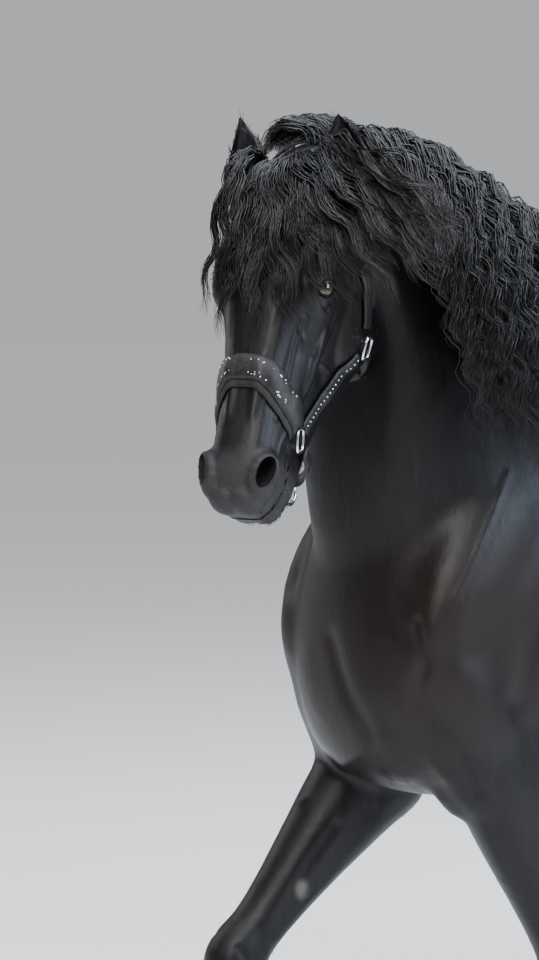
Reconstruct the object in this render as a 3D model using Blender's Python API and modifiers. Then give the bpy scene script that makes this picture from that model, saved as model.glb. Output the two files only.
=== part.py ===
"""A Friesian stallion at a stride, life size, in metres: +Z up, the head towards -Y, the horse's left side at +X."""

import math
import random

import bmesh
import bpy
import numpy as np
from mathutils import Matrix, Vector
from mathutils.bvhtree import BVHTree

# Driving dimensions
GAP = 0.00035
SLIVER = 0.000002
EDGE_ANGLE = math.radians(42)
NORMAL_REACH = 0.010
TURN = math.radians(36)
HEAD_TURN = math.radians(34)
HEAD_PITCH = math.radians(22)
HEAD_SCALE = 0.975
BEND_START_Y = 0.10
POLL = Vector((0, -0.470, 1.830))
HEAD_SHIFT = Vector((0.008, 0.016, -0.001))
BODY_VOXEL = 0.011
HEAD_VOXEL = 0.0045
# Where the body is divided, in the side view: levels across the legs, and lines given as (y, z)
KNEE_CUT = 0.500
HOCK_CUT = 0.470
FORELEG_TOP = 0.757
HINDLEG_TOP = [(0.700, 0.787), (1.330, 1.020), (1.800, 1.190)]
NECK_CUT = [(-0.400, 1.020), (0.160, 1.800)]
BODY_TRIANGLES = 2000
HEAD_TRIANGLES = 1400

# Hair: rows of the mane with their number of locks, distance from the middle and lift, and where the mane runs
MANE_CORE = 10
MANE_ROWS = [(9, 0.030, 0.008), (8, 0.012, 0.036), (7, -0.004, 0.060)]
MANE_FROM, MANE_TO = 0.14, 0.97
MANE_LENGTH = 0.50
ROLL_LOCKS = 4
ROLL_FROM, ROLL_TO = 0.18, 0.36
FORELOCK_CORE = 6
FORELOCK_TIERS = [(6, 0.030, 0.006), (4, 0.046, 0.020), (3, 0.060, 0.032)]
TAIL_LOCKS = 11
TAIL_CORE = [(0.00, 0.050, 0.046), (0.10, 0.052, 0.046), (0.20, 0.058, 0.050), (0.32, 0.066, 0.052),
             (0.44, 0.058, 0.042), (0.50, 0.030, 0.020)]
FEATHER_CORE = 6
FEATHER_ROWS = [(0.018, 6, 0.145), (0.100, 2, 0.190)]
TAIL_LINE = [(0, 1.255, 1.430), (0, 1.345, 1.448), (0, 1.425, 1.405), (0.004, 1.478, 1.300), (0.010, 1.508, 1.140),
             (0.018, 1.535, 0.940), (0.030, 1.575, 0.720), (0.044, 1.630, 0.500), (0.056, 1.700, 0.300)]
BOOT_SHARES = (0.14, 0.22, 0.45, 0.68, 0.84)
BOOT_THICKNESS = 0.0095
# The halter in the head's hanging frame, each strap from the middle out to the left
NOSEBAND = [(0.0, -0.004, -0.352), (0.035, 0.004, -0.358), (0.061, 0.040, -0.388), (0.062, 0.084, -0.418)]
CHIN_STRAP = [(0.0, 0.204, -0.470), (0.026, 0.200, -0.467), (0.050, 0.168, -0.455), (0.058, 0.130, -0.446)]
CHEEK_STRAP = [(0.060, 0.122, -0.412), (0.068, 0.152, -0.362), (0.080, 0.180, -0.308), (0.090, 0.202, -0.262)]
THROAT_STRAP = [(0.0, 0.302, -0.256), (0.036, 0.300, -0.256), (0.072, 0.274, -0.246), (0.090, 0.228, -0.238)]
CROWN_STRAP = [(0.0, 0.130, 0.062), (0.050, 0.130, 0.030), (0.094, 0.142, -0.040), (0.106, 0.166, -0.130),
               (0.096, 0.198, -0.212)]
# Width and thickness of each strap, and how far the straps and rings stand off the coat
STRAP_SIZES = {"noseband": (0.040, 0.009), "chin_strap": (0.022, 0.005), "throat_strap": (0.020, 0.004),
               "crown_strap": (0.024, 0.005), "cheek_strap": (0.024, 0.006)}
STRAP_LIFT, RING_LIFT = 0.0026, 0.0075
# Half width, half height and bar of a side ring, and the same for the ring under the chin
SIDE_RING, LOWEST_RING = (0.015, 0.018, 0.0028), (0.019, 0.019, 0.003)
LOWER_RING, UPPER_RING, CHIN_RING = (0.060, 0.104, -0.434), (0.090, 0.216, -0.238), (0.0, 0.222, -0.484)

# Joints of each leg in the side view, as (y, z), with the leg's distance from the middle at the top and at the hoof
LEGS = {
    "foreleg_right": dict(
        side=-1, joints=[(-0.235, 1.05), (-0.085, 0.835), (-0.385, 0.515), (-0.392, 0.190), (-0.470, 0.088)],
        spread=(0.150, 0.120), fore=True),
    "foreleg_left": dict(
        side=1, joints=[(-0.21, 1.03), (-0.025, 0.835), (0.120, 0.478), (0.222, 0.184), (0.142, 0.088)],
        spread=(0.150, 0.115), fore=True),
    "hindleg_left": dict(
        side=1, joints=[(1.06, 1.24), (0.810, 0.955), (1.030, 0.560), (0.935, 0.190), (0.855, 0.088)],
        spread=(0.150, 0.115), fore=False),
    "hindleg_right": dict(
        side=-1, joints=[(1.08, 1.24), (1.015, 0.870), (1.375, 0.560), (1.500, 0.195), (1.425, 0.088)],
        spread=(0.150, 0.125), fore=False),
}

# Stations of the trunk from the breast to the buttock: y, top, level of the widest point, bottom, half width,
# and how square the upper and the lower half are
TRUNK = [
    (-0.290, 1.150, 1.030, 0.940, 0.060, 2.0, 2.0),
    (-0.268, 1.240, 1.030, 0.870, 0.135, 2.0, 2.0),
    (-0.210, 1.360, 1.040, 0.822, 0.195, 2.0, 2.1),
    (-0.110, 1.480, 1.060, 0.792, 0.228, 1.9, 2.2),
    (0.030, 1.555, 1.080, 0.785, 0.243, 1.8, 2.2),
    (0.180, 1.605, 1.100, 0.788, 0.257, 1.6, 2.2),
    (0.330, 1.585, 1.125, 0.795, 0.283, 1.7, 2.2),
    (0.500, 1.540, 1.150, 0.804, 0.308, 2.0, 2.2),
    (0.680, 1.532, 1.165, 0.826, 0.312, 2.2, 2.2),
    (0.850, 1.565, 1.200, 0.876, 0.288, 2.3, 2.1),
    (0.990, 1.598, 1.250, 0.940, 0.264, 2.2, 2.0),
    (1.120, 1.578, 1.270, 0.995, 0.242, 2.1, 2.0),
    (1.235, 1.510, 1.260, 1.035, 0.200, 2.0, 2.0),
    (1.310, 1.430, 1.250, 1.075, 0.132, 2.0, 2.0),
    (1.340, 1.360, 1.250, 1.120, 0.055, 2.0, 2.0),
]

# Stations of the neck: crest y and z, throat y and z, half width, squareness towards the crest and the throat
NECK = [
    (0.340, 1.550, -0.060, 0.950, 0.200, 1.8, 2.0),
    (0.215, 1.612, -0.205, 1.045, 0.202, 1.9, 2.0),
    (0.095, 1.695, -0.272, 1.150, 0.184, 2.0, 2.1),
    (-0.030, 1.775, -0.296, 1.255, 0.160, 2.1, 2.2),
    (-0.155, 1.838, -0.304, 1.360, 0.139, 2.2, 2.3),
    (-0.265, 1.878, -0.302, 1.450, 0.122, 2.3, 2.3),
    (-0.360, 1.885, -0.300, 1.530, 0.109, 2.3, 2.2),
    (-0.430, 1.866, -0.318, 1.595, 0.096, 2.2, 2.1),
    (-0.475, 1.834, -0.360, 1.655, 0.074, 2.0, 2.0),
]

# Sizes down each leg: bone, share of the bone, half depth in front, behind, half width
FORE_SIZES = [
    (0, 0.30, 0.080, 0.100, 0.065), (0, 0.75, 0.100, 0.115, 0.076), (1, 0.02, 0.098, 0.112, 0.077),
    (1, 0.15, 0.092, 0.100, 0.074), (1, 0.32, 0.081, 0.084, 0.066), (1, 0.52, 0.066, 0.067, 0.056),
    (1, 0.72, 0.053, 0.055, 0.047), (1, 0.86, 0.048, 0.050, 0.044), (1, 0.95, 0.054, 0.053, 0.049),
    (2, 0.03, 0.056, 0.058, 0.051), (2, 0.13, 0.050, 0.056, 0.047), (2, 0.24, 0.039, 0.046, 0.037),
    (2, 0.42, 0.034, 0.043, 0.030), (2, 0.62, 0.033, 0.043, 0.029), (2, 0.80, 0.035, 0.045, 0.031),
    (2, 0.93, 0.041, 0.050, 0.037), (3, 0.05, 0.042, 0.053, 0.039), (3, 0.25, 0.037, 0.047, 0.036),
    (3, 0.50, 0.034, 0.037, 0.035), (3, 0.78, 0.040, 0.037, 0.041), (3, 1.00, 0.049, 0.045, 0.049),
    (3, 1.15, 0.049, 0.045, 0.049),
]
HIND_SIZES = [
    (0, 0.15, 0.120, 0.130, 0.075), (0, 0.50, 0.150, 0.175, 0.092), (0, 0.85, 0.130, 0.200, 0.094),
    (1, 0.05, 0.108, 0.185, 0.090), (1, 0.20, 0.092, 0.140, 0.082), (1, 0.36, 0.076, 0.108, 0.069),
    (1, 0.52, 0.062, 0.084, 0.055), (1, 0.68, 0.050, 0.072, 0.043), (1, 0.84, 0.048, 0.076, 0.040),
    (1, 0.97, 0.055, 0.084, 0.046), (2, 0.06, 0.056, 0.076, 0.049), (2, 0.16, 0.048, 0.060, 0.044),
    (2, 0.28, 0.039, 0.047, 0.035), (2, 0.45, 0.036, 0.044, 0.031), (2, 0.65, 0.035, 0.044, 0.030),
    (2, 0.82, 0.037, 0.046, 0.032), (2, 0.94, 0.042, 0.051, 0.038), (3, 0.05, 0.043, 0.054, 0.040),
    (3, 0.25, 0.038, 0.048, 0.037), (3, 0.50, 0.035, 0.038, 0.035), (3, 0.78, 0.041, 0.038, 0.042),
    (3, 1.00, 0.050, 0.046, 0.050), (3, 1.15, 0.050, 0.046, 0.050),
]

# The head hangs from the poll. Stations down the face: z, front of the nose, then half width and depth of the
# edge of the nose, of the widest line, of the cheek and of the jaw, and the depth between the jaws
HEAD = [
    (0.024, 0.052, 0.012, 0.056, 0.022, 0.072, 0.022, 0.088, 0.012, 0.102, 0.106),
    (0.004, 0.018, 0.030, 0.024, 0.056, 0.060, 0.060, 0.100, 0.042, 0.140, 0.150),
    (-0.055, -0.002, 0.038, 0.006, 0.074, 0.050, 0.078, 0.110, 0.060, 0.178, 0.182),
    (-0.115, -0.012, 0.050, -0.004, 0.090, 0.040, 0.086, 0.122, 0.070, 0.222, 0.206),
    (-0.165, -0.016, 0.058, -0.006, 0.100, 0.038, 0.090, 0.130, 0.072, 0.254, 0.222),
    (-0.205, -0.016, 0.056, -0.005, 0.100, 0.050, 0.089, 0.132, 0.071, 0.270, 0.232),
    (-0.250, -0.012, 0.050, 0.000, 0.088, 0.060, 0.084, 0.130, 0.067, 0.268, 0.226),
    (-0.305, -0.006, 0.043, 0.005, 0.076, 0.066, 0.071, 0.120, 0.057, 0.242, 0.204),
    (-0.360, 0.000, 0.039, 0.010, 0.066, 0.064, 0.061, 0.110, 0.049, 0.206, 0.176),
    (-0.415, 0.003, 0.037, 0.012, 0.061, 0.058, 0.056, 0.100, 0.044, 0.178, 0.154),
    (-0.465, 0.003, 0.037, 0.012, 0.059, 0.054, 0.055, 0.096, 0.043, 0.162, 0.144),
    (-0.504, 0.005, 0.036, 0.013, 0.058, 0.052, 0.055, 0.094, 0.042, 0.152, 0.138),
    (-0.530, 0.012, 0.034, 0.021, 0.054, 0.054, 0.051, 0.092, 0.038, 0.144, 0.134),
    (-0.554, 0.026, 0.028, 0.033, 0.044, 0.058, 0.042, 0.090, 0.030, 0.128, 0.126),
    (-0.572, 0.050, 0.016, 0.053, 0.026, 0.066, 0.026, 0.084, 0.015, 0.102, 0.104),
]
# Rounded forms of the head, on both sides: middle, radii
HEAD_LUMPS = [
    ((0.066, 0.178, -0.192), (0.031, 0.084, 0.100)),
    ((0.068, 0.046, -0.200), (0.036, 0.050, 0.054)),
    ((0.064, 0.020, -0.170), (0.034, 0.026, 0.050)),
    ((0.062, 0.088, -0.062), (0.026, 0.050, 0.050)),
    ((0.040, 0.040, -0.512), (0.025, 0.034, 0.046)),
    ((0.016, 0.050, -0.547), (0.034, 0.034, 0.030)),
    ((0.030, 0.066, -0.532), (0.026, 0.026, 0.038)),
    ((0.014, 0.114, -0.543), (0.032, 0.024, 0.028)),
    ((0.008, 0.130, -0.526), (0.033, 0.025, 0.032)),
]
# Long forms of the head, on both sides: from, to, radius
HEAD_RIDGES = [
    ((0.084, 0.078, -0.235), (0.060, 0.084, -0.370), 0.013),
    ((0.024, 0.006, -0.240), (0.018, 0.014, -0.480), 0.012),
    ((0.090, 0.062, -0.205), (0.078, 0.104, -0.110), 0.014),
    ((0.050, 0.094, -0.464), (0.036, 0.070, -0.556), 0.010),
]
# The eye: middle, where it looks, radii of the ball and of the lids round it
EYE = Vector((0.0785, 0.046, -0.203))
EYE_GAZE = Vector((0.84, -0.48, -0.20)).normalized()
EYE_BALL = 0.0235
EYE_LIDS = 0.0285
# The nostril: middle of its opening, where it faces, half length and half width
NOSTRIL = Vector((0.055, 0.018, -0.516))
NOSTRIL_FACES = Vector((0.64, -0.74, -0.20)).normalized()
NOSTRIL_SIZE = (0.0215, 0.0135)
# The line of the mouth in the side view of the head, as (y, z), from the corner to the front
MOUTH = [(0.093, -0.480), (0.096, -0.506), (0.092, -0.532), (0.086, -0.560), (0.084, -0.612)]
# The ear: place of its base, the way each points from the head's left side out, the way it opens, and length
EAR_BASE = Vector((0.080, 0.061, -0.028))
EAR_POINTS = {1: Vector((0.06, -0.26, 1.0)).normalized(), -1: Vector((0.26, -0.26, 1.0)).normalized()}
EAR_OPENS = Vector((0.50, -0.86, 0.0)).normalized()
EAR_LENGTH = 0.116


def smooth_rows(table, steps):
    """Rows read from a smooth curve through the stations of a table."""
    rows = np.array(table, float)
    ends = np.vstack([2 * rows[0] - rows[1], rows, 2 * rows[-1] - rows[-2]])
    out = []
    for i in range(len(rows) - 1):
        a, b, c, d = ends[i:i + 4]
        for t in np.arange(steps) / steps:
            out.append(0.5 * (2 * b + (c - a) * t + (2 * a - 5 * b + 4 * c - d) * t ** 2
                              + (3 * b - a - 3 * c + d) * t ** 3))
    out.append(rows[-1])
    return np.array(out)


def ring(centre, across, up, half_width, above, below, square_above=2.0, square_below=2.0, sides=28):
    """A closed section: a superellipse whose upper and lower halves have their own reach and squareness."""
    points = []
    for k in range(sides):
        angle = 2 * math.pi * k / sides
        c, s = math.cos(angle), math.sin(angle)
        square = square_above if s > 0 else square_below
        x = half_width * math.copysign(abs(c) ** (2 / square), c)
        y = (above if s > 0 else below) * math.copysign(abs(s) ** (2 / square), s)
        points.append(Vector(centre) + Vector(across) * x + Vector(up) * y)
    return points


def loft(bm, rings):
    """A closed tube through rings of equal count, with a flat face at each end."""
    loops = [[bm.verts.new(p) for p in points] for points in rings]
    count = len(loops[0])
    faces = [bm.faces.new(list(reversed(loops[0]))), bm.faces.new(loops[-1])]
    for a, b in zip(loops, loops[1:]):
        faces += [bm.faces.new((a[k], a[(k + 1) % count], b[(k + 1) % count], b[k])) for k in range(count)]
    return faces


def ellipsoid(bm, matrix, radii, rings=14):
    """A stretched ball."""
    scale = Matrix.Diagonal((*radii, 1))
    bmesh.ops.create_uvsphere(bm, u_segments=2 * rings, v_segments=rings, radius=1, matrix=matrix @ scale)


def muscle(bm, start, end, width, thickness):
    """A ball stretched from start to end: width is in the side view, thickness across the body."""
    start, end = Vector(start), Vector(end)
    along = (end - start).normalized()
    across = (Vector((1, 0, 0)) - along * along.x).normalized()
    side = along.cross(across)
    turn = Matrix((across, side, along)).transposed().to_4x4()
    ellipsoid(bm, Matrix.Translation((start + end) / 2) @ turn, (thickness, width, (end - start).length / 2))


def neck_course():
    """The turn of the neck to the horse's left in plan: the middle line and its heading against distance."""
    reach = BEND_START_Y - POLL.y
    steps = np.linspace(0, 1, 200)
    heading = TURN * (0.35 * steps + 0.65 * steps ** 2)
    step = reach / 199
    x = np.concatenate([[0], np.cumsum(np.sin(heading[:-1]) * step)])
    y = BEND_START_Y - np.concatenate([[0], np.cumsum(np.cos(heading[:-1]) * step)])
    return steps * reach, x, y, heading


COURSE = neck_course()


def turned(point):
    """A point of the straight horse, moved to where the bent neck carries it."""
    away = BEND_START_Y - point[1]
    if away <= 0:
        return Vector(point)
    distances, xs, ys, headings = COURSE
    heading = float(np.interp(away, distances, headings))
    x, y = float(np.interp(away, distances, xs)), float(np.interp(away, distances, ys))
    past = max(0.0, away - distances[-1])
    x, y = x + past * math.sin(heading), y - past * math.cos(heading)
    return Vector((x + point[0] * math.cos(heading), y + point[0] * math.sin(heading), point[2]))


def head_matrix():
    """Carries the hanging head to its place at the end of the turned neck."""
    place = turned(POLL)
    return (Matrix.Translation(place + HEAD_SHIFT) @ Matrix.Rotation(HEAD_TURN, 4, "Z")
            @ Matrix.Rotation(-HEAD_PITCH, 4, "X") @ Matrix.Scale(HEAD_SCALE, 4) @ Matrix.Translation((0, -0.055, 0)))


def trunk_form(bm):
    rings = []
    for y, top, mid, bottom, half, above, below in smooth_rows(TRUNK, 3):
        rings.append(ring((0, y, mid), (1, 0, 0), (0, 0, 1), half, top - mid, mid - bottom, above, below))
    loft(bm, rings)


def neck_rings(steps=4, grow=0.0):
    rings = []
    for cy, cz, ty, tz, half, above, below in smooth_rows(NECK, steps):
        crest, throat = Vector((0, cy, cz)), Vector((0, ty, tz))
        centre, reach = (crest + throat) / 2, (crest - throat).length / 2 + grow
        up = (crest - throat).normalized()
        rings.append([turned(p) for p in ring(centre, (1, 0, 0), up, half + grow, reach, reach, above, below)])
    return rings


def leg_points(leg):
    """Ring centres down a leg, with the half sizes there."""
    sizes = FORE_SIZES if leg["fore"] else HIND_SIZES
    joints = [Vector((0, y, z)) for y, z in leg["joints"]]
    top, hoof = leg["spread"]
    rows = []
    for bone, share, front, back, half in sizes:
        p = joints[bone].lerp(joints[bone + 1], share)
        down = min(1.0, max(0.0, (joints[1].z - p.z) / (joints[1].z - joints[-1].z)))
        rows.append((leg["side"] * (top + (hoof - top) * down), p.y, p.z, front, back, half))
    return rows


def leg_form(bm, leg):
    rows = smooth_rows(leg_points(leg), 3)
    centres = rows[:, :3]
    rings = []
    for k, row in enumerate(rows):
        a, b = centres[max(k - 1, 0)], centres[min(k + 1, len(rows) - 1)]
        along = Vector(b - a).normalized()
        front = along.cross(Vector((1, 0, 0))).normalized()
        if front.y > 0:
            front = -front
        rings.append(ring(row[:3], (1, 0, 0), front, row[5], row[3], row[4], 2.2, 2.2, 20))
    loft(bm, rings)
    if not leg["fore"]:
        hock, fetlock = Vector((0, *leg["joints"][2])), Vector((0, *leg["joints"][3]))
        stifle = Vector((0, *leg["joints"][1]))
        x = rows[len(rows) // 2][0]
        up = (stifle - hock).normalized()
        back = (hock - fetlock).normalized().cross(Vector((1, 0, 0)))
        back = back if back.y > 0 else -back
        heel = hock + back * 0.062 + up * 0.045
        muscle(bm, (x, *(heel + up * 0.055)[1:]), (x, *(heel - up * 0.085)[1:]), 0.022, 0.024)


def muscles(bm):
    for name, leg in LEGS.items():
        s = leg["side"]
        j = [Vector((0, y, z)) for y, z in leg["joints"]]
        if leg["fore"]:
            point, elbow = j[0], j[1]
            muscle(bm, (s * 0.10, 0.22, 1.545), (s * 0.205, point.y - 0.01, point.z + 0.02), 0.120, 0.062)
            muscle(bm, (s * 0.165, 0.300, 1.330), (s * 0.175, elbow.y + 0.02, elbow.z - 0.01), 0.105, 0.075)
            muscle(bm, (s * 0.170, 0.100, 1.400), (s * 0.185, elbow.y + 0.06, elbow.z + 0.03), 0.110, 0.070)
            muscle(bm, (s * 0.175, point.y - 0.01, point.z + 0.09), (s * 0.160, elbow.y, elbow.z - 0.02), 0.080, 0.072)
            muscle(bm, (s * 0.070, -0.215, 1.200), (s * 0.090, -0.190, 0.830), 0.080, 0.085)
            muscle(bm, (s * 0.100, -0.10, 0.960), (s * 0.135, elbow.y - 0.05, elbow.z - 0.07), 0.075, 0.055)
        else:
            hip, stifle = j[0], j[1]
            muscle(bm, (s * 0.105, 0.700, 1.500), (s * 0.165, 1.270, 1.270), 0.175, 0.100)
            muscle(bm, (s * 0.200, 0.790, 1.450), (s * 0.200, 0.980, 1.310), 0.060, 0.048)
            muscle(bm, (s * 0.130, 1.220, 1.460), (s * 0.160, stifle.y + 0.14, stifle.z - 0.06), 0.140, 0.105)
            muscle(bm, (s * 0.100, 1.285, 1.370), (s * 0.130, stifle.y + 0.20, stifle.z - 0.08), 0.085, 0.085)
            muscle(bm, (s * 0.195, 0.900, 1.360), (s * 0.165, stifle.y - 0.02, stifle.z - 0.04), 0.120, 0.090)
            muscle(bm, (s * 0.160, stifle.y - 0.02, stifle.z + 0.08), (s * 0.155, stifle.y, stifle.z - 0.08), 0.07, 0.062)


def head_section(row):
    """One closed section of the head, a smooth curve through its named points."""
    z, front, nose_x, nose_y, side_x, side_y, cheek_x, cheek_y, jaw_x, jaw_y, between = row
    half = [(nose_x, nose_y), (side_x, side_y), (cheek_x, cheek_y), (jaw_x, jaw_y)]
    corners = [(0, front)] + half + [(0, between)] + [(-x, y) for x, y in reversed(half)]
    corners = np.array(corners)
    count, points = len(corners), []
    for i in range(count):
        a, b, c, d = (corners[(i + k) % count] for k in (-1, 0, 1, 2))
        for t in (0.0, 1 / 3, 2 / 3):
            x, y = 0.5 * (2 * b + (c - a) * t + (2 * a - 5 * b + 4 * c - d) * t ** 2
                          + (3 * b - a - 3 * c + d) * t ** 3)
            points.append(Vector((x, y, z)))
    return points


def sided(vector, side):
    """A point or direction of the head's left side, carried to the side asked for."""
    return Vector((vector[0] * side, vector[1], vector[2]))


def frame_along(axis, up):
    """A turn whose z lies along the axis and whose y lies near up."""
    across = up.cross(axis).normalized()
    return Matrix((across, axis.cross(across), axis)).transposed().to_4x4()


def head_forms(bm):
    """The head in its hanging frame."""
    loft(bm, [head_section(row) for row in smooth_rows(HEAD, 3)])
    for s in (-1, 1):
        for (x, y, z), radii in HEAD_LUMPS:
            ellipsoid(bm, Matrix.Translation((s * x, y, z)), radii)
        for a, b, radius in HEAD_RIDGES:
            muscle(bm, (s * a[0], *a[1:]), (s * b[0], *b[1:]), radius, radius)
        nostril_rim(bm, s)


def nostril_rim(bm, side):
    """The raised wing of the nostril, open at its lower inner end."""
    facing = frame_along(sided(NOSTRIL_FACES, side), Vector((0, 0.3, 1)))
    long, wide = NOSTRIL_SIZE
    for k in range(11):
        angle = math.radians(-60 + 30 * k)
        local = Vector((wide * 1.30 * math.cos(angle), long * 1.20 * math.sin(angle), -0.008))
        ellipsoid(bm, Matrix.Translation(sided(NOSTRIL, side) + facing @ local), (0.0085, 0.0085, 0.0095), 8)


def eye_cutter(bm, side):
    """The almond opening between the lids, as a prism along the gaze."""
    gaze = sided(EYE_GAZE, side)
    corner = Vector((0.0, -0.75, -0.55))
    across = (corner - gaze * corner.dot(gaze)).normalized()
    up = gaze.cross(across) * -side
    rings = []
    for reach in (0.006, 0.060):
        points = []
        for k in range(10):
            angle = 2 * math.pi * k / 10
            x = 0.0225 * math.cos(angle)
            y = 0.0140 * math.copysign(abs(math.sin(angle)) ** 1.25, math.sin(angle))
            points.append(sided(EYE, side) + gaze * reach + across * x + up * y)
        rings.append(points)
    loft(bm, rings)


def nostril_cutter(bm, side):
    """The hollow of the nostril: a comma that runs in and up."""
    facing = sided(NOSTRIL_FACES, side)
    turn = frame_along(facing, Vector((0, 0.3, 1)))
    middle = sided(NOSTRIL, side) + facing * 0.004
    long, wide = NOSTRIL_SIZE
    ellipsoid(bm, Matrix.Translation(middle + turn @ Vector((0, 0.002, -0.006))) @ turn, (wide, long, 0.028), 5)


def mouth_cutter(bm):
    """A thin curved slot through both lips."""
    rows = smooth_rows(MOUTH, 4)
    half = 0.0013
    left = [(y - half, z) for y, z in rows]
    right = [(y + half, z) for y, z in reversed(rows)]
    prism(bm, left + right, -0.15, 0.15)


def prism(bm, outline, x_from, x_to):
    """A closed body with an outline given in the side view, between two planes across the horse."""
    a = [bm.verts.new((x_from, y, z)) for y, z in outline]
    b = [bm.verts.new((x_to, y, z)) for y, z in outline]
    bm.faces.new(a)
    bm.faces.new(list(reversed(b)))
    for k in range(len(outline)):
        n = (k + 1) % len(outline)
        bm.faces.new((a[n], a[k], b[k], b[n]))


def ear_form(bm, side):
    """A cupped leaf: an outer and an inner sheet joined along the edge, rooted in the head."""
    up = sided(EAR_POINTS[side], side)
    opens = sided(EAR_OPENS, side)
    opens = (opens - up * opens.dot(up)).normalized()
    across = up.cross(opens) * side
    base = sided(EAR_BASE, side)
    spans, sides = 7, 7
    thickness = 0.0042
    outer, inner = [], []
    for i in range(spans):
        t = i / (spans - 1)
        half = 0.027 + 0.016 * math.sin(math.pi * min(1, t * 1.25))
        half = half * (1 - max(0.0, (t - 0.35) / 0.65) ** 2.6) + 0.0025
        depth = 0.030 * (1 - t) ** 0.55 + 0.006
        cup = math.radians(158 - 70 * t)
        spine = base + up * (EAR_LENGTH * t) - opens * (depth * 0.8) + opens * (0.016 * t * t)
        spine = spine - across * (0.020 * t ** 3)
        row_out, row_in = [], []
        for j in range(sides):
            angle = cup * (2 * j / (sides - 1) - 1)
            x, y = half * math.sin(angle), depth * (1 - math.cos(angle)) * 0.62
            out = spine + across * x + opens * y
            middle = spine + opens * depth
            inward = (middle - out).normalized() * thickness * (0.65 if i == spans - 1 else 1)
            row_out.append(bm.verts.new(out))
            row_in.append(bm.verts.new(out + inward))
        outer.append(row_out)
        inner.append(row_in)
    for i in range(spans - 1):
        for j in range(sides - 1):
            for grid, flip in ((outer, False), (inner, True)):
                a, b, c, d = grid[i][j], grid[i][j + 1], grid[i + 1][j + 1], grid[i + 1][j]
                for face in ((a, b, c), (a, c, d)):
                    bm.faces.new(tuple(reversed(face)) if flip else face)
        for j in (0, sides - 1):
            a, b, c, d = outer[i][j], outer[i + 1][j], inner[i + 1][j], inner[i][j]
            bm.faces.new((a, b, c, d) if j == 0 else (d, c, b, a))
    for i, flip in ((0, True), (spans - 1, False)):
        for j in range(sides - 1):
            face = (outer[i][j], outer[i][j + 1], inner[i][j + 1], inner[i][j])
            bm.faces.new(tuple(reversed(face)) if flip else face)


def hoof_form(bm, leg):
    """A hoof: its walls slope from a tilted coronet down to a flat sole."""
    y, top = leg["joints"][-1]
    x = leg["side"] * leg["spread"][1]
    wide = 1.0 if leg["fore"] else 0.94
    sole, band = [], []
    for k in range(16):
        angle = 2 * math.pi * k / 16
        c, s = math.cos(angle), math.sin(angle)
        front = s > 0
        sole.append(Vector((x + 0.068 * wide * math.copysign(abs(c) ** 0.9, c),
                            y - 0.028 - (0.072 if front else 0.062) * math.copysign(abs(s) ** (0.92 if front else 0.7), s),
                            0)))
        ahead = (0.054 if front else 0.052) * s
        band.append(Vector((x + 0.0555 * wide * c, y - ahead, top - 0.020 + 0.24 * ahead)))
    dome = [p.lerp(Vector((x, y, top - 0.014)), 0.35) + Vector((0, 0, 0.004)) for p in band]
    low = [a.lerp(b, 0.12) + (a - Vector((x, y - 0.02, a.z))).normalized() * 0.0015 for a, b in zip(sole, band)]
    loft(bm, [sole, low, [a.lerp(b, 0.6) for a, b in zip(sole, band)], band, dome])


def object_of(name, bm, collection):
    bmesh.ops.recalc_face_normals(bm, faces=bm.faces)
    mesh = bpy.data.meshes.new(name)
    bm.to_mesh(mesh)
    bm.free()
    obj = bpy.data.objects.new(name, mesh)
    collection.objects.link(obj)
    return obj


def made(name, collection, build, *args):
    bm = bmesh.new()
    build(bm, *args)
    return object_of(name, bm, collection)


def applied(obj):
    """The object's mesh as its modifiers leave it."""
    graph = bpy.context.evaluated_depsgraph_get()
    mesh = bpy.data.meshes.new_from_object(obj.evaluated_get(graph))
    obj.modifiers.clear()
    obj.data = mesh
    return obj


def fused(obj, voxel, rounds, triangles, softness=None):
    """Overlapping forms made one even surface, then thinned to about that many triangles.

    softness gives, for a point, how much of the rounds of smoothing it takes."""
    remesh = obj.modifiers.new("fuse", "REMESH")
    remesh.mode = "VOXEL"
    remesh.voxel_size = voxel
    applied(obj)
    smooth = obj.modifiers.new("smooth", "SMOOTH")
    smooth.factor, smooth.iterations = 0.5, rounds
    if softness:
        group = obj.vertex_groups.new(name="soft")
        for vertex in obj.data.vertices:
            group.add([vertex.index], softness(vertex.co), "REPLACE")
        smooth.vertex_group = group.name
    applied(obj)
    obj.vertex_groups.clear()
    if triangles:
        faces = 2 * len(obj.data.polygons)
        thin = obj.modifiers.new("thin", "DECIMATE")
        thin.ratio = triangles / faces
        applied(obj)
    return welded(obj)


def trunk_softness(point):
    """The trunk's muscles flow into each other; the joints of the legs keep their edges."""
    return 0.12 + 0.88 * min(1.0, max(0.0, (point.z - 0.78) / 0.16))


def welded(obj):
    """Takes slivers and pinched edges out of a finished mesh."""
    bm = bmesh.new()
    bm.from_mesh(obj.data)
    bmesh.ops.remove_doubles(bm, verts=bm.verts, dist=SLIVER)
    bmesh.ops.dissolve_degenerate(bm, edges=bm.edges, dist=SLIVER)
    bmesh.ops.triangulate(bm, faces=bm.faces)
    for _ in range(8):
        pinched = [edge for edge in bm.edges if len(edge.link_faces) > 2]
        if not pinched:
            break
        bmesh.ops.collapse(bm, edges=pinched)
    bm.to_mesh(obj.data)
    bm.free()
    return largest_body(obj)


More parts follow.
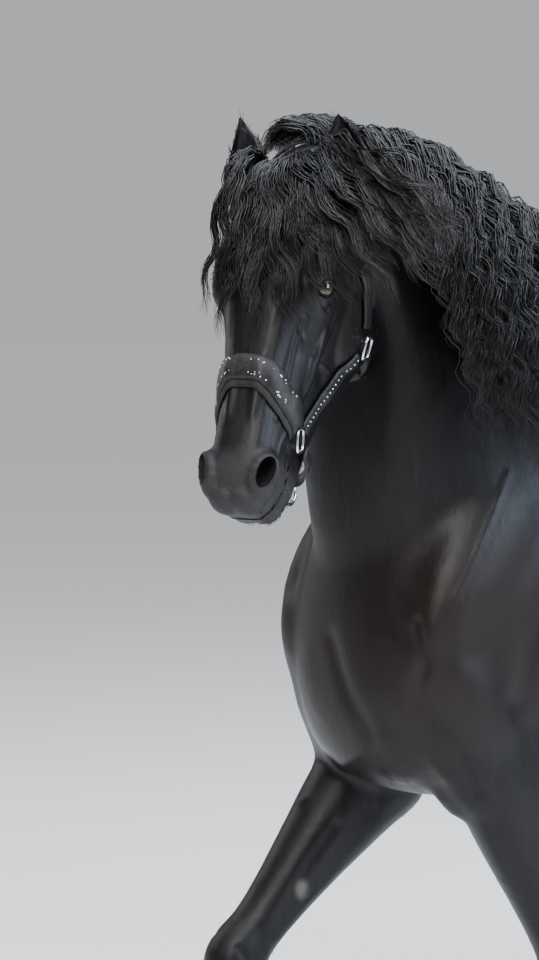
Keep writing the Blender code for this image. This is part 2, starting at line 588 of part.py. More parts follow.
def largest_body(obj):
    """Keeps the closed surface of greatest volume."""
    bm = bmesh.new()
    bm.from_mesh(obj.data)
    bmesh.ops.triangulate(bm, faces=bm.faces)
    bodies, left = [], set(bm.faces)
    while left:
        stack, body = [left.pop()], []
        while stack:
            face = stack.pop()
            body.append(face)
            for edge in face.edges:
                for other in edge.link_faces:
                    if other in left:
                        left.remove(other)
                        stack.append(other)
        volume = sum(f.verts[0].co.dot(f.verts[1].co.cross(f.verts[2].co)) for f in body) / 6
        bodies.append((volume, body))
    keep = max(bodies, key=lambda pair: pair[0])[1]
    drop = [face for _, body in bodies if body is not keep for face in body]
    bmesh.ops.delete(bm, geom=drop, context="FACES")
    bm.to_mesh(obj.data)
    bm.free()
    return obj


def cut(obj, cutter, operation="DIFFERENCE", keep=False, solver="MANIFOLD"):
    """One Boolean, applied, with the cutter then removed unless it is kept."""
    step = obj.modifiers.new("cut", "BOOLEAN")
    step.operation, step.solver, step.object = operation, solver, cutter
    applied(obj)
    if not keep:
        bpy.data.objects.remove(cutter)
    return largest_body(obj)


def copy_of(obj, name):
    twin = obj.copy()
    twin.data = obj.data.copy()
    twin.name = name
    obj.users_collection[0].objects.link(twin)
    return twin


def grown(obj, by):
    """A passing copy of a node, a little larger all round, used to keep another clear of it."""
    twin = copy_of(obj, "clearance")
    bm = bmesh.new()
    bm.from_mesh(twin.data)
    bm.normal_update()
    moves = [v.normal * (by * min(3.0, v.calc_shell_factor())) for v in bm.verts]
    for v, move in zip(bm.verts, moves):
        v.co += move
    bm.to_mesh(twin.data)
    bm.free()
    return twin


def clear_of(obj, other, by=GAP):
    """Cuts the object so that it keeps its gap from another node."""
    return cut(obj, grown(other, by))


def region(body, name, cutters, outline, x_from=-0.8, x_to=0.8):
    """The part of the body inside an outline of the side view."""
    return cut(copy_of(body, name), made("cutter", cutters, prism, outline, x_from, x_to), "INTERSECT")


def painted(obj, colour, roughness, metallic=0.0):
    material = bpy.data.materials.new(obj.name)
    material.use_nodes = True
    shader = material.node_tree.nodes["Principled BSDF"]
    shader.inputs["Base Color"].default_value = (*colour, 1)
    shader.inputs["Roughness"].default_value = roughness
    shader.inputs["Metallic"].default_value = metallic
    obj.data.materials.clear()
    obj.data.materials.append(material)


def clear_scene():
    for obj in list(bpy.data.objects):
        bpy.data.objects.remove(obj)


def flesh(horse):
    """The whole body as one surface, and the head as another, in their final places."""
    bm = bmesh.new()
    trunk_form(bm)
    loft(bm, neck_rings())
    for leg in LEGS.values():
        leg_form(bm, leg)
    muscles(bm)
    body = fused(object_of("body", bm, horse), BODY_VOXEL, 36, BODY_TRIANGLES, trunk_softness)
    head = fused(made("head", horse, head_forms), HEAD_VOXEL, 4, HEAD_TRIANGLES)
    return largest_body(body), largest_body(head)


def opened_head(head, horse, cutters):
    """Mouth, nostrils and lids cut into the head while it still hangs in its own frame."""
    cut(head, made("cutter", cutters, mouth_cutter))
    eyes = []
    for side, name in ((-1, "eye_right"), (1, "eye_left")):
        place = Matrix.Translation(sided(EYE, side))
        cut(head, made("cutter", cutters, nostril_cutter, side))
        cut(head, made("lids", cutters, ellipsoid, place, (EYE_LIDS,) * 3, 6), "UNION")
        cut(head, made("cutter", cutters, eye_cutter, side))
        cut(head, made("cutter", cutters, ellipsoid, place, (EYE_BALL + 2 * GAP,) * 3, 5))
        eyes.append(made(name, horse, ellipsoid, place, (EYE_BALL,) * 3, 5))
    ears = []
    for side, name in ((-1, "ear_right"), (1, "ear_left")):
        ears.append(clear_of(made(name, horse, ear_form, side), head, GAP + 0.0001))
    return eyes + ears


def parted(body, head, cutters):
    """The body divided by thin planes where its parts meet."""
    half = GAP * 0.8
    fore_top = FORELEG_TOP
    neck_low, neck_high = Vector(NECK_CUT[0]), Vector(NECK_CUT[1])
    slope = (neck_high - neck_low).normalized()
    over = Vector((-slope.y, slope.x)) * half
    low, high = neck_low - slope * 0.6, neck_high + slope * 0.7
    crotch = HINDLEG_TOP
    start = neck_low + slope * ((fore_top + half - neck_low.y) / slope.y) - over
    torso_outline = [tuple(start), (0.60, fore_top + half)]
    torso_outline += [(y, z + half) for y, z in crotch] + [(1.80, 2.40), tuple(high - over)]
    neck_outline = [tuple(start + 2 * over), tuple(high + over), (-1.5, 2.40), (-1.5, fore_top + half)]
    nodes = {"torso": region(body, "torso", cutters, torso_outline),
             "neck": region(body, "neck", cutters, neck_outline)}
    for name, leg in LEGS.items():
        x_from, x_to = (half, 0.8) if leg["side"] > 0 else (-0.8, -half)
        if leg["fore"]:
            z = KNEE_CUT
            upper = [(-0.7, z + half), (0.60, z + half), (0.60, fore_top - half), (-0.7, fore_top - half)]
            lower = [(-0.7, 0.0), (0.60, 0.0), (0.60, z - half), (-0.7, z - half)]
        else:
            z = HOCK_CUT
            upper = [(0.60, z + half), (1.80, z + half)] + [(y, w - half) for y, w in reversed(crotch)]
            upper += [(0.60, 0.750)]
            lower = [(0.60, 0.0), (1.80, 0.0), (1.80, z - half), (0.60, z - half)]
        nodes[name] = region(body, name, cutters, upper, x_from, x_to)
        nodes["lower_" + name] = region(body, "lower_" + name, cutters, lower, x_from, x_to)
    bpy.data.objects.remove(body)
    clear_of(nodes["neck"], head, GAP + 0.0004)
    return nodes


def surface_of(*objects):
    """A search tree over the surfaces of these objects."""
    corners, faces = [], []
    for obj in objects:
        start = len(corners)
        corners += [v.co.copy() for v in obj.data.vertices]
        faces += [[start + k for k in face.vertices] for face in obj.data.polygons]
    return BVHTree.FromPolygons(corners, faces)


def nearest(tree, point):
    """The nearest place of the surface, the way out averaged round it, and how far off it is."""
    near, _, _, away = tree.find_nearest(point)
    out = Vector((0, 0, 0))
    for _, normal, _, _ in sorted(tree.find_nearest_range(near, NORMAL_REACH), key=lambda found: found[2]):
        out += normal
    return near, Vector([round(value, 5) for value in out.normalized()]), away


def kept_off(tree, point, lift, pull=0.0):
    """The point moved out to its distance from the surface, with the way out there."""
    near, normal, away = nearest(tree, point)
    if (point - near).dot(normal) < 0 or away < max(lift, pull):
        return near + normal * lift, normal
    return point, (point - near).normalized()


def laid(tree, root, start, length, spans, blown, stiff, lift, sink=0.016):
    """A guide for one lock: it leaves the root, bends to its weight and the wind and lies over the surface."""
    step = length / spans
    way = start.normalized()
    _, out, _ = nearest(tree, root)
    points, normals = [root - out * sink - way * 0.4 * sink], [out]
    place = root.copy()
    for k in range(spans):
        pull = (blown + Vector((0, 0, -1))).normalized()
        way = (way * stiff + pull * (1 - stiff)).normalized()
        target = place + way * step
        moved, out = kept_off(tree, target, lift * min(1.0, 0.5 + k / 2))
        way = (moved - place).normalized()
        place = place + way * step
        points.append(place.copy())
        normals.append(out.copy())
        stiff *= 0.97
    return points, normals


def lock(bm, points, normals, width, thickness, wave=0.0, phase=0.0, waves=1.5, tip=0.12):
    """A flat tapered lock, ridged along its outer side, swaying along its guide and ending in a point."""
    count = len(points)
    loops = []
    for k in range(count - 1):
        along = (points[min(k + 1, count - 1)] - points[max(k - 1, 0)]).normalized()
        out = (normals[k] - along * normals[k].dot(along)).normalized()
        across = along.cross(out)
        t = k / (count - 1)
        sway = wave * math.sin(2 * math.pi * waves * t + phase) * min(1.0, 3 * t)
        half = 0.5 * width * (0.75 + 0.25 * math.sin(math.pi * min(1.0, 1.6 * t))) * (1 - (1 - tip) * t ** 2.2)
        deep = thickness * (1 - 0.6 * t ** 1.5)
        centre = points[k] + across * sway
        corners = [centre + across * half, centre + out * deep * 0.75, centre - across * half]
        loops.append([bm.verts.new(p - out * deep * 0.25) for p in corners])
    end = bm.verts.new(points[-1])
    bm.faces.new(list(reversed(loops[0])))
    for a, b in zip(loops, loops[1:]):
        for k in range(3):
            n = (k + 1) % 3
            bm.faces.new((a[k], a[n], b[n]))
            bm.faces.new((a[k], b[n], b[k]))
    for k in range(3):
        bm.faces.new((loops[-1][k], loops[-1][(k + 1) % 3], end))


def crest_point(share):
    """A point of the crest, with its way along, up and to the left."""
    rows = smooth_rows(NECK, 8)[::-1]
    where = share * (len(rows) - 1)
    k = min(int(where), len(rows) - 2)
    here = Vector((0, *(rows[k][:2] + (rows[k + 1][:2] - rows[k][:2]) * (where - k))))
    ahead = turned(here + Vector((0, -0.01, 0)))
    place = turned(here)
    along = (turned(here + Vector((0, 0.01, 0))) - ahead).normalized()
    return place, along, along.cross(Vector((0, 0, 1))).normalized()


def tips_of(points, normals, begin):
    """The end of a lock that comes out of the edge of its core."""
    root = points[begin].lerp(points[begin + 1], 0.5)
    return [root - normals[begin] * 0.002] + points[begin + 1:], normals[begin:]


def mane_guide(tree, share, off, row, lift, length):
    """One lock of the mane: over the crest, down the left side and blown a little back."""
    place, along, left = crest_point(share)
    near, _, _, _ = tree.find_nearest(place + left * off + Vector((0, 0, 0.02)))
    start = Vector((0, 0, 0.15 + 0.40 * row)) + left * 0.9 + along * (0.05 + 0.25 * share)
    blown = Vector((0, 0.10 + 0.22 * share, 0)) + left * 0.10
    return laid(tree, near, start, length, 7, blown, 0.60, lift)


def mane_locks(tree):
    """The mane falls to the left from the crest in three rows over its core, and a roll tips over in front."""
    rng = random.Random(11)
    guides = []
    for k in range(MANE_CORE):
        share = MANE_FROM + (MANE_TO - MANE_FROM) * k / (MANE_CORE - 1)
        guides.append(mane_guide(tree, share, MANE_ROWS[0][1], 0, 0.005, MANE_LENGTH))
    locks = []
    for row, (count, off, lift) in enumerate(MANE_ROWS):
        for k in range(count):
            share = MANE_FROM + (MANE_TO - MANE_FROM) * (k + 0.5 + rng.uniform(-0.2, 0.2)) / count
            length = (MANE_LENGTH + 0.14 * math.sin(math.pi * min(1.0, 0.15 + 0.8 * share))) * rng.uniform(0.88, 1.10)
            points, normals = mane_guide(tree, share, off, row, lift + 0.004 * (k % 2), length)
            if row == 0:
                points, normals = tips_of(points, normals, 3)
            locks.append((points, normals, rng.uniform(0.068, 0.080), 0.014, rng.uniform(0.006, 0.012),
                          rng.uniform(0, 6.28)))
    for k in range(ROLL_LOCKS):
        share = ROLL_FROM + (ROLL_TO - ROLL_FROM) * k / ROLL_LOCKS
        place, along, left = crest_point(share)
        near, _, _, _ = tree.find_nearest(place + Vector((0, 0, 0.02)))
        start = Vector((0, 0, 1.0)) - along * 0.10 - left * 0.15
        blown = Vector((0, -0.45, 0.10)) - left * 0.9
        points, normals = laid(tree, near, start, rng.uniform(0.115, 0.135), 6, blown, 0.74, 0.020)
        locks.append((points, normals, rng.uniform(0.056, 0.066), 0.024, 0.004, rng.uniform(0, 6.28)))
    return locks, (guides, 4, 0.012, 0.004)


def forelock_guide(tree, place, side, tier, back, lift, length):
    """One lock of the forelock, from between the ears over the forehead, swept to the left cheek."""
    turn = place.to_3x3()
    near, _, _, _ = tree.find_nearest(place @ Vector((0.044 * side, back, 0.03)))
    start = turn @ Vector((0.55 * side + 0.25, -1.0, 0.04 + 0.18 * tier))
    blown = turn @ Vector((0.75 * max(0.0, side + 0.55) + 0.22 * tier, 0.10, 0))
    return laid(tree, near, start, length, 6, blown, 0.58, lift, 0.012)


def forelock_locks(tree, forehead, place):
    """The forelock in tiers over its core."""
    rng = random.Random(5)
    guides = [forelock_guide(forehead, place, 1.5 * k / (FORELOCK_CORE - 1) - 0.75, 0, FORELOCK_TIERS[0][1], 0.004, 0.27)
              for k in range(FORELOCK_CORE)]
    locks = []
    for tier, (count, back, lift) in enumerate(FORELOCK_TIERS):
        for k in range(count):
            side = 2 * (k + 0.5) / count - 1
            length = (0.30 + 0.03 * tier + 0.06 * max(0.0, side)) * rng.uniform(0.90, 1.12)
            points, normals = forelock_guide(tree, place, side, tier, back, lift + 0.003 * (k % 2), length)
            if tier == 0:
                points, normals = tips_of(points, normals, 2)
            locks.append((points, normals, rng.uniform(0.046, 0.058), 0.010, rng.uniform(0.003, 0.007),
                          rng.uniform(0, 6.28)))
    return locks, (guides, 3, 0.007, 0.003)


def tail_point(share):
    """A point of the line of the tail."""
    line = smooth_rows(TAIL_LINE, 6)
    at = share * (len(line) - 1)
    return Vector([float(np.interp(at, range(len(line)), line[:, c])) for c in range(3)])


def tail_core(bm):
    """The dock, widening into the thick of the hair and ending half way to the tips."""
    rings = []
    for share, wide, deep in smooth_rows(TAIL_CORE, 2):
        along = (tail_point(min(1.0, share + 0.02)) - tail_point(max(0.0, share - 0.02))).normalized()
        back = along.cross(Vector((1, 0, 0)))
        rings.append(ring(tail_point(share), (1, 0, 0), back, wide, deep, deep, sides=12))
    loft(bm, rings)


def tail_locks():
    """Long locks from all round the dock, over its core and on, following the line of the tail."""
    rng = random.Random(23)
    core = np.array(TAIL_CORE)
    locks = []
    for k in range(TAIL_LOCKS):
        begin = 0.15 + 0.05 * (k % 3)
        end = 0.86 + 0.14 * (k * 5 % TAIL_LOCKS) / TAIL_LOCKS
        angle = 2 * math.pi * k / TAIL_LOCKS
        side, back = math.cos(angle), math.sin(angle)
        points, normals = [], []
        for n, share in enumerate(np.linspace(begin, end, 8)):
            wide, deep = (float(np.interp(min(share, 0.36), core[:, 0], core[:, c])) for c in (1, 2))
            close = 1.0 - 0.55 * max(0.0, (share - 0.40) / 0.60)
            more = -0.014 if n == 0 else 0.007 + 0.003 * (k % 2)
            radial = Vector((side * (wide + more), back * (deep + more), back * 0.2 * (deep + more)))
            points.append(tail_point(share) + radial * close)
            normals.append(radial.normalized())
        locks.append((points, normals, rng.uniform(0.050, 0.056), 0.022, 0.004, rng.uniform(0, 6.28)))
    return locks


def feather_guide(tree, leg, angle, high, length):
    """One lock of the feathering, down and out over heel and hoof."""
    joints = [Vector((0, y, z)) for y, z in leg["joints"]]
    fetlock = joints[3]
    above = (joints[2] - fetlock).normalized()
    x = leg["side"] * (leg["spread"][1] + 0.004)
    radial = Vector((math.sin(angle), math.cos(angle), 0))
    near, out, _ = nearest(tree, Vector((x, fetlock.y, fetlock.z)) + above * high + radial * 0.05)
    back = 0.5 + 0.5 * math.cos(angle)
    start = out * 0.75 + Vector((0, 0.20 * back, -0.7))
    reach = min(length * (0.78 + 0.22 * back), (near.z - 0.012) / 0.97)
    return laid(tree, near, start, reach, 4, Vector((0, 0.12 * back, 0)), 0.62, 0.007, 0.010)


def feather_locks(tree, leg, seed):
    """The feathering: a bell of locks round fetlock and heel, and longer ones from the tendon behind."""
    rng = random.Random(seed)
    guides = [feather_guide(tree, leg, math.radians(-158 + 316 * k / (FEATHER_CORE - 1)), 0.018, 0.130)
              for k in range(FEATHER_CORE)]
    locks = []
    for row, (high, count, length) in enumerate(FEATHER_ROWS):
        sweep = (330, 110)[row]
        for k in range(count):
            angle = math.radians(sweep * ((k + 0.5) / count - 0.5))
            points, normals = feather_guide(tree, leg, angle, high, length * rng.uniform(0.92, 1.05))
            if row == 0:
                points, normals = tips_of(points, normals, 1)
            locks.append((points, normals, rng.uniform(0.058, 0.068), 0.014, 0.002, rng.uniform(0, 6.28)))
    return locks, (guides, 2, 0.008, 0.003)


def sheet(bm, guides, reach, outside, inside):
    """The core of a coat: a thin sheet through the first points of neighbouring guides."""
    grids = []
    for lift in (outside, -inside):
        grids.append([[bm.verts.new(points[k] + normals[k] * lift * (1 - 0.6 * k / reach)) for k in range(reach + 1)]
                      for points, normals in guides])
    outer, inner = grids
    last = len(guides) - 1
    for grid in grids:
        for a, b in zip(grid, grid[1:]):
            for k in range(reach):
                bm.faces.new((a[k], b[k], b[k + 1], a[k + 1]))
    for i in range(last):
        for k in (0, reach):
            bm.faces.new((outer[i][k], outer[i + 1][k], inner[i + 1][k], inner[i][k]))
    for k in range(reach):
        for i in (0, last):
            bm.faces.new((outer[i][k], outer[i][k + 1], inner[i][k + 1], inner[i][k]))


def crosses_itself(bm):
    """Whether two faces that share no corner meet."""
    tree = BVHTree.FromBMesh(bm)
    bm.faces.ensure_lookup_table()
    corners = [set(v.index for v in face.verts) for face in bm.faces]
    return any(a < b and not corners[a] & corners[b] for a, b in tree.overlap(tree))


def eased(line):
    """A guide with its bends softened."""
    return [line[0]] + [(a + 2 * b + c) / 4 for a, b, c in zip(line, line[1:], line[2:])] + [line[-1]]


def eased_until_clear(bm, build, first, second, *shape):
    """A lock or a core whose guides are softened until it doesn't cross itself."""
    for _ in range(12):
        build(bm, first, second, *shape)
        bm.verts.index_update()
        if not crosses_itself(bm):
            return
        bm.clear()
        if build is lock:
            first, second = eased(first), eased(second)
            shape = (shape[0] * 0.96,) + shape[1:]
        else:
            first = [(eased(points), eased(normals)) for points, normals in first]
    build(bm, first, second, *shape)


def haired(node, locks, collection, core=None):
    """The node with its locks and their core fused on by one Boolean union."""
    group = bpy.data.collections.new("locks")
    collection.children.link(group)
    if core:
        made("core", group, eased_until_clear, sheet, *core)
    for guide in locks:
        made("lock", group, eased_until_clear, lock, *guide)
    union = node.modifiers.new("locks", "BOOLEAN")
    union.operation, union.operand_type, union.collection = "UNION", "COLLECTION", group
    union.solver = "MANIFOLD"
    applied(node)
    for obj in list(group.objects):
        bpy.data.objects.remove(obj)
    bpy.data.collections.remove(group)
    return largest_body(node)


def strap(bm, tree, points, width, thickness, pull=0.02, columns=2, samples=2, lift=STRAP_LIFT):
    """A flat strap over the surface through named points, pushed clear of it where it would sink in."""
    line = [Vector(row) for row in smooth_rows([tuple(p) for p in points], samples)]
    rested = [kept_off(tree, p, lift, pull) for p in line]
    count = len(rested)
    loops = []
    for k, (place, out) in enumerate(rested):
        along = (rested[min(k + 1, count - 1)][0] - rested[max(k - 1, 0)][0]).normalized()
        across = along.cross(out).normalized()
        inner, outer = [], []
        for c in range(columns):
            offset = width * (c / (columns - 1) - 0.5)
            spot, normal = kept_off(tree, place + across * offset, lift, pull * 0.5)
            normal = (normal + out).normalized()
            inner.append(bm.verts.new(spot))
            outer.append(bm.verts.new(spot + normal * thickness))
        loops.append(inner + outer[::-1])
    sides = 2 * columns
    for a, b in zip(loops, loops[1:]):
        for j in range(sides):
            n = (j + 1) % sides
            bm.faces.new((a[j], a[n], b[n]))
            bm.faces.new((a[j], b[n], b[j]))
    for loop, flip in ((loops[0], True), (loops[-1], False)):
        for j in range(columns - 1):
            face = (loop[j], loop[j + 1], loop[sides - 2 - j], loop[sides - 1 - j])
            bm.faces.new(tuple(reversed(face)) if flip else face)


def metal_ring(name, collection, middle, facing, up, wide, high, bar, square=3.5):
    """A rounded square ring of wire."""
    turn = frame_along(facing, up)
    wire = bpy.data.curves.new(name, "CURVE")
    wire.dimensions = "3D"
    wire.bevel_depth = bar
    wire.bevel_resolution = 0
    path = wire.splines.new("POLY")
    path.points.add(11)
    path.use_cyclic_u = True
    for k, point in enumerate(path.points):
        angle = 2 * math.pi * (k + 0.5) / 12
        c, s = math.cos(angle), math.sin(angle)
        x, y = (math.copysign(abs(v) ** (2 / square), v) for v in (c, s))
        point.co = (*(middle + turn @ Vector((wide * x, high * y, 0))), 1)
    guide = bpy.data.objects.new("wire", wire)
    collection.objects.link(guide)
    graph = bpy.context.evaluated_depsgraph_get()
    bm = bmesh.new()
    bm.from_mesh(bpy.data.meshes.new_from_object(guide.evaluated_get(graph)))
    bmesh.ops.remove_doubles(bm, verts=bm.verts, dist=0.00001)
    bpy.data.objects.remove(guide)
    return object_of(name, bm, collection)


def halter(head, ears, neck_flesh, place, horse):
    """A padded halter: noseband, cheek, chin, throat and crown straps and the rings between them."""
    tree = surface_of(head, neck_flesh, *ears)
    parts = {}

    def world(points, side=1):
        return [place @ sided(p, side) for p in points]

    for name, points, pull, columns, samples in (
            ("noseband", NOSEBAND, 0.02, 3, 3), ("chin_strap", CHIN_STRAP, 0.0, 2, 2),
            ("throat_strap", THROAT_STRAP, 0.0, 2, 2), ("crown_strap", CROWN_STRAP, 0.02, 2, 2)):
        whole = points[::-1] + [(-x, y, z) for x, y, z in points[1:]]
        parts[name] = made(name, horse, strap, tree, world(whole), *STRAP_SIZES[name], pull, columns, samples)
    turn = place.to_3x3().normalized()
    for side, name in ((-1, "right"), (1, "left")):
        parts["cheek_strap_" + name] = made("cheek_strap_" + name, horse, strap, tree, world(CHEEK_STRAP, side),
                                            *STRAP_SIZES["cheek_strap"])
        for spot, label in ((LOWER_RING, "nose_ring_"), (UPPER_RING, "cheek_ring_")):
            resting, out = kept_off(tree, place @ sided(spot, side), RING_LIFT, 0.03)
            up = (turn @ Vector((0, -0.35, 1))).normalized()
            parts[label + name] = metal_ring(label + name, horse, resting, out, up, *SIDE_RING)
    parts["chin_ring"] = metal_ring("chin_ring", horse, place @ Vector(CHIN_RING), turn @ Vector((1, 0, 0)),
                                    turn @ Vector((0, 1, 0)), *LOWEST_RING, 2.0)
    return parts


def boot_form(bm, leg):
    """A tendon boot: a sleeve round the cannon, its inside left for the leg to cut."""
    rows = [row for row in leg_points(leg)]
    joints = [Vector((0, y, z)) for y, z in leg["joints"]]
    rings = []
    for share in BOOT_SHARES:
        centre = joints[2].lerp(joints[3], share)
        sizes = np.array([(r[0], r[3], r[4], r[5]) for r in rows])
        shares = [(-(p[2])) for p in rows]
        x, front, back, half = (float(np.interp(-centre.z, shares, sizes[:, c])) for c in range(4))
        along = (joints[3] - joints[2]).normalized()
        ahead = along.cross(Vector((1, 0, 0)))
        ahead = ahead if ahead.y < 0 else -ahead
        more = BOOT_THICKNESS
        rings.append(ring((x, centre.y, centre.z), (1, 0, 0), ahead, half + more, front + more, back + more,
                          2.2, 2.2, 12))
    loft(bm, rings)


LOOKS = {
    "eye": ((0.010, 0.008, 0.007), 0.08, 0.0),
    "hoof": ((0.035, 0.033, 0.032), 0.55, 0.0),
    "boot": ((0.62, 0.60, 0.66), 0.75, 0.0),
    "noseband": ((0.012, 0.012, 0.013), 0.50, 0.0),
    "strap": ((0.016, 0.016, 0.018), 0.45, 0.0),
    "ring": ((0.70, 0.70, 0.72), 0.25, 1.0),
    "": ((0.012, 0.011, 0.012), 0.38, 0.0),
}


def finished(collection):
    """Each piece has its colour, and the whole stands on z = 0 with the origin under its middle."""
    bounds = [obj.matrix_world @ Vector(corner) for obj in collection.objects for corner in obj.bound_box]
    low = [min(p[k] for p in bounds) for k in range(3)]
    high = [max(p[k] for p in bounds) for k in range(3)]
    shift = Matrix.Translation((-(low[0] + high[0]) / 2, -(low[1] + high[1]) / 2, -low[2]))
    for obj in collection.objects:
        obj.data.transform(shift)
        look = next(value for key, value in LOOKS.items() if key in obj.name)
        painted(obj, *look)
        welded(obj)
        obj.data.shade_smooth()
        obj.data.set_sharp_from_angle(angle=EDGE_ANGLE)


def main():
    clear_scene()
    horse = bpy.data.collections.new("friesian_horse")
    bpy.context.scene.collection.children.link(horse)
    cutters = bpy.data.collections.new("cutters")
    bpy.context.scene.collection.children.link(cutters)
    body, head = flesh(horse)
    small = opened_head(head, horse, cutters)
    place = head_matrix()
    for obj in [head] + small:
        obj.data.transform(place)
    ears = small[2:]
    coat = surface_of(body, head)
    kit = halter(head, ears, body, place, horse)
    mane, mane_core = mane_locks(coat)
    forelock, forelock_core = forelock_locks(surface_of(body, head, *ears), surface_of(head), place)
    nodes = parted(body, head, cutters)
    rings = [obj for name, obj in kit.items() if name.endswith(("ring_left", "ring_right")) or name == "chin_ring"]
    straps = [obj for obj in kit.values() if obj not in rings]
    for obj in straps:
        for other in [head, nodes["neck"]] + ears + rings:
            clear_of(obj, other, 2.5 * GAP)
    for obj in rings:
        clear_of(obj, head, 2.5 * GAP)
    done = []
    for obj in straps:
        for other in done:
            clear_of(obj, other)
        done.append(obj)
    haired(nodes["neck"], mane, horse, mane_core)
    haired(head, forelock, horse, forelock_core)
    tail = made("tail", horse, tail_core)
    haired(tail, tail_locks(), horse)
    clear_of(tail, nodes["torso"])
    for seed, (name, leg) in enumerate(LEGS.items()):
        hoof = made("hoof_" + name, horse, hoof_form, leg)
        lower = clear_of(nodes["lower_" + name], hoof, GAP + 0.0003)
        coat = surface_of(lower, hoof)
        if leg["fore"]:
            boot = made("boot_" + name, horse, boot_form, leg)
            clear_of(boot, nodes[name], 2.5 * GAP)
            clear_of(boot, lower, 2.5 * GAP)
        feathers, feather_core = feather_locks(coat, leg, 40 + seed)
        haired(lower, feathers, horse, feather_core)
        clear_of(lower, hoof)
        if leg["fore"]:
            clear_of(lower, boot)
    for obj in ears:
        cut(head, obj, keep=True)
    for obj in ears + list(kit.values()):
        clear_of(head, obj)
        clear_of(nodes["neck"], obj)
    cut(nodes["neck"], head, keep=True)
    clear_of(nodes["neck"], head)
    clear_of(nodes["neck"], nodes["torso"])
    bpy.data.collections.remove(cutters)
    finished(horse)


main()
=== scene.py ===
"""The looks of a Friesian horse at a stride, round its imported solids: one skin, the coat, the long hair,
the eyes, the hooves, the halter and the boots, and the stage with its lights and camera."""

import math
import random

import bmesh
import bpy
import numpy as np
from mathutils import Matrix, Vector
from mathutils.bvhtree import BVHTree

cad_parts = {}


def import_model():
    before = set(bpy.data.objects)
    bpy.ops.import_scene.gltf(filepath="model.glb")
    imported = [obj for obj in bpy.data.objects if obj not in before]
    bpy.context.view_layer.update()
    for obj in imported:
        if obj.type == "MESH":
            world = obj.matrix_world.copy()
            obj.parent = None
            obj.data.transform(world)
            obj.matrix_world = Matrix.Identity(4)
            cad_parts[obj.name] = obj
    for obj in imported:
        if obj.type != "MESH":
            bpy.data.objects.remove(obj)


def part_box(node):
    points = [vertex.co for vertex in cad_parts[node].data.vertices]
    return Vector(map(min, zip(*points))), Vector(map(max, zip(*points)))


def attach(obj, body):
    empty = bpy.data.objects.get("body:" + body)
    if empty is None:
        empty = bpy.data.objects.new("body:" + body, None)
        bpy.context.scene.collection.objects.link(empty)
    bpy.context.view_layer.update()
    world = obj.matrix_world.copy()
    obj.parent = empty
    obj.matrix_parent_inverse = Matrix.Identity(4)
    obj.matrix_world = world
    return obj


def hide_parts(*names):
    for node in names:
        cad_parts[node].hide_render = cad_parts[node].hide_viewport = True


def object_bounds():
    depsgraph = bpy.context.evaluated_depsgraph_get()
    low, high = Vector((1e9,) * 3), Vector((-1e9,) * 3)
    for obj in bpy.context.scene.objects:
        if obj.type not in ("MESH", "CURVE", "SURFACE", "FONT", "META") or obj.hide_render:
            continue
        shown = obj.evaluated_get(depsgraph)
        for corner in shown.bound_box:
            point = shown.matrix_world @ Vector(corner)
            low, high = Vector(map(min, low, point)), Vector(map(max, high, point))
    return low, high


bl_info = {
    "name": "Friesian Horse",
    "version": (1, 0, 0),
    "blender": (4, 5, 0),
    "location": "View3D > Sidebar > Horse",
    "description": "Builds the skin, coat, long hair, tack and stage of a life-size Friesian horse",
    "category": "Add Mesh",
}

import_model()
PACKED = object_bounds()
FLESH = ["torso", "neck", "head", "ear_left", "ear_right"]
PHOTO_WIDTH, PHOTO_HEIGHT = 539, 960

# Sizes of the horse, as in the part's source
NORMAL_REACH = 0.010
TURN = math.radians(36)
HEAD_TURN = math.radians(34)
HEAD_PITCH = math.radians(22)
HEAD_SCALE = 0.975
BEND_START_Y = 0.10
POLL = Vector((0, -0.470, 1.830))
HEAD_SHIFT = Vector((0.008, 0.016, -0.001))
MANE_FROM, MANE_TO = 0.14, 0.97
MANE_LENGTH = 0.50
ROLL_FROM, ROLL_TO = 0.18, 0.36
TAIL_CORE = [(0.00, 0.050, 0.046), (0.10, 0.052, 0.046), (0.20, 0.058, 0.050), (0.32, 0.066, 0.052),
             (0.44, 0.058, 0.042), (0.50, 0.030, 0.020)]
TAIL_LINE = [(0, 1.255, 1.430), (0, 1.345, 1.448), (0, 1.425, 1.405), (0.004, 1.478, 1.300),
             (0.010, 1.508, 1.140), (0.018, 1.535, 0.940), (0.030, 1.575, 0.720), (0.044, 1.630, 0.500),
             (0.056, 1.700, 0.300)]
BOOT_SHARES = (0.14, 0.84)
# The halter in the head's hanging frame, each strap from the middle out to the left
NOSEBAND = [(0.0, -0.004, -0.352), (0.035, 0.004, -0.358), (0.061, 0.040, -0.388), (0.062, 0.084, -0.418)]
CHIN_STRAP = [(0.0, 0.204, -0.470), (0.026, 0.200, -0.467), (0.050, 0.168, -0.455), (0.058, 0.130, -0.446)]
CHEEK_STRAP = [(0.060, 0.122, -0.412), (0.068, 0.152, -0.362), (0.080, 0.180, -0.308), (0.090, 0.202, -0.262)]
THROAT_STRAP = [(0.0, 0.302, -0.256), (0.036, 0.300, -0.256), (0.072, 0.274, -0.246), (0.090, 0.228, -0.238)]
CROWN_STRAP = [(0.0, 0.130, 0.062), (0.050, 0.130, 0.030), (0.094, 0.142, -0.040), (0.106, 0.166, -0.130),
               (0.096, 0.198, -0.212)]
LOWER_RING, UPPER_RING, CHIN_RING = (0.060, 0.104, -0.434), (0.090, 0.216, -0.238), (0.0, 0.222, -0.484)
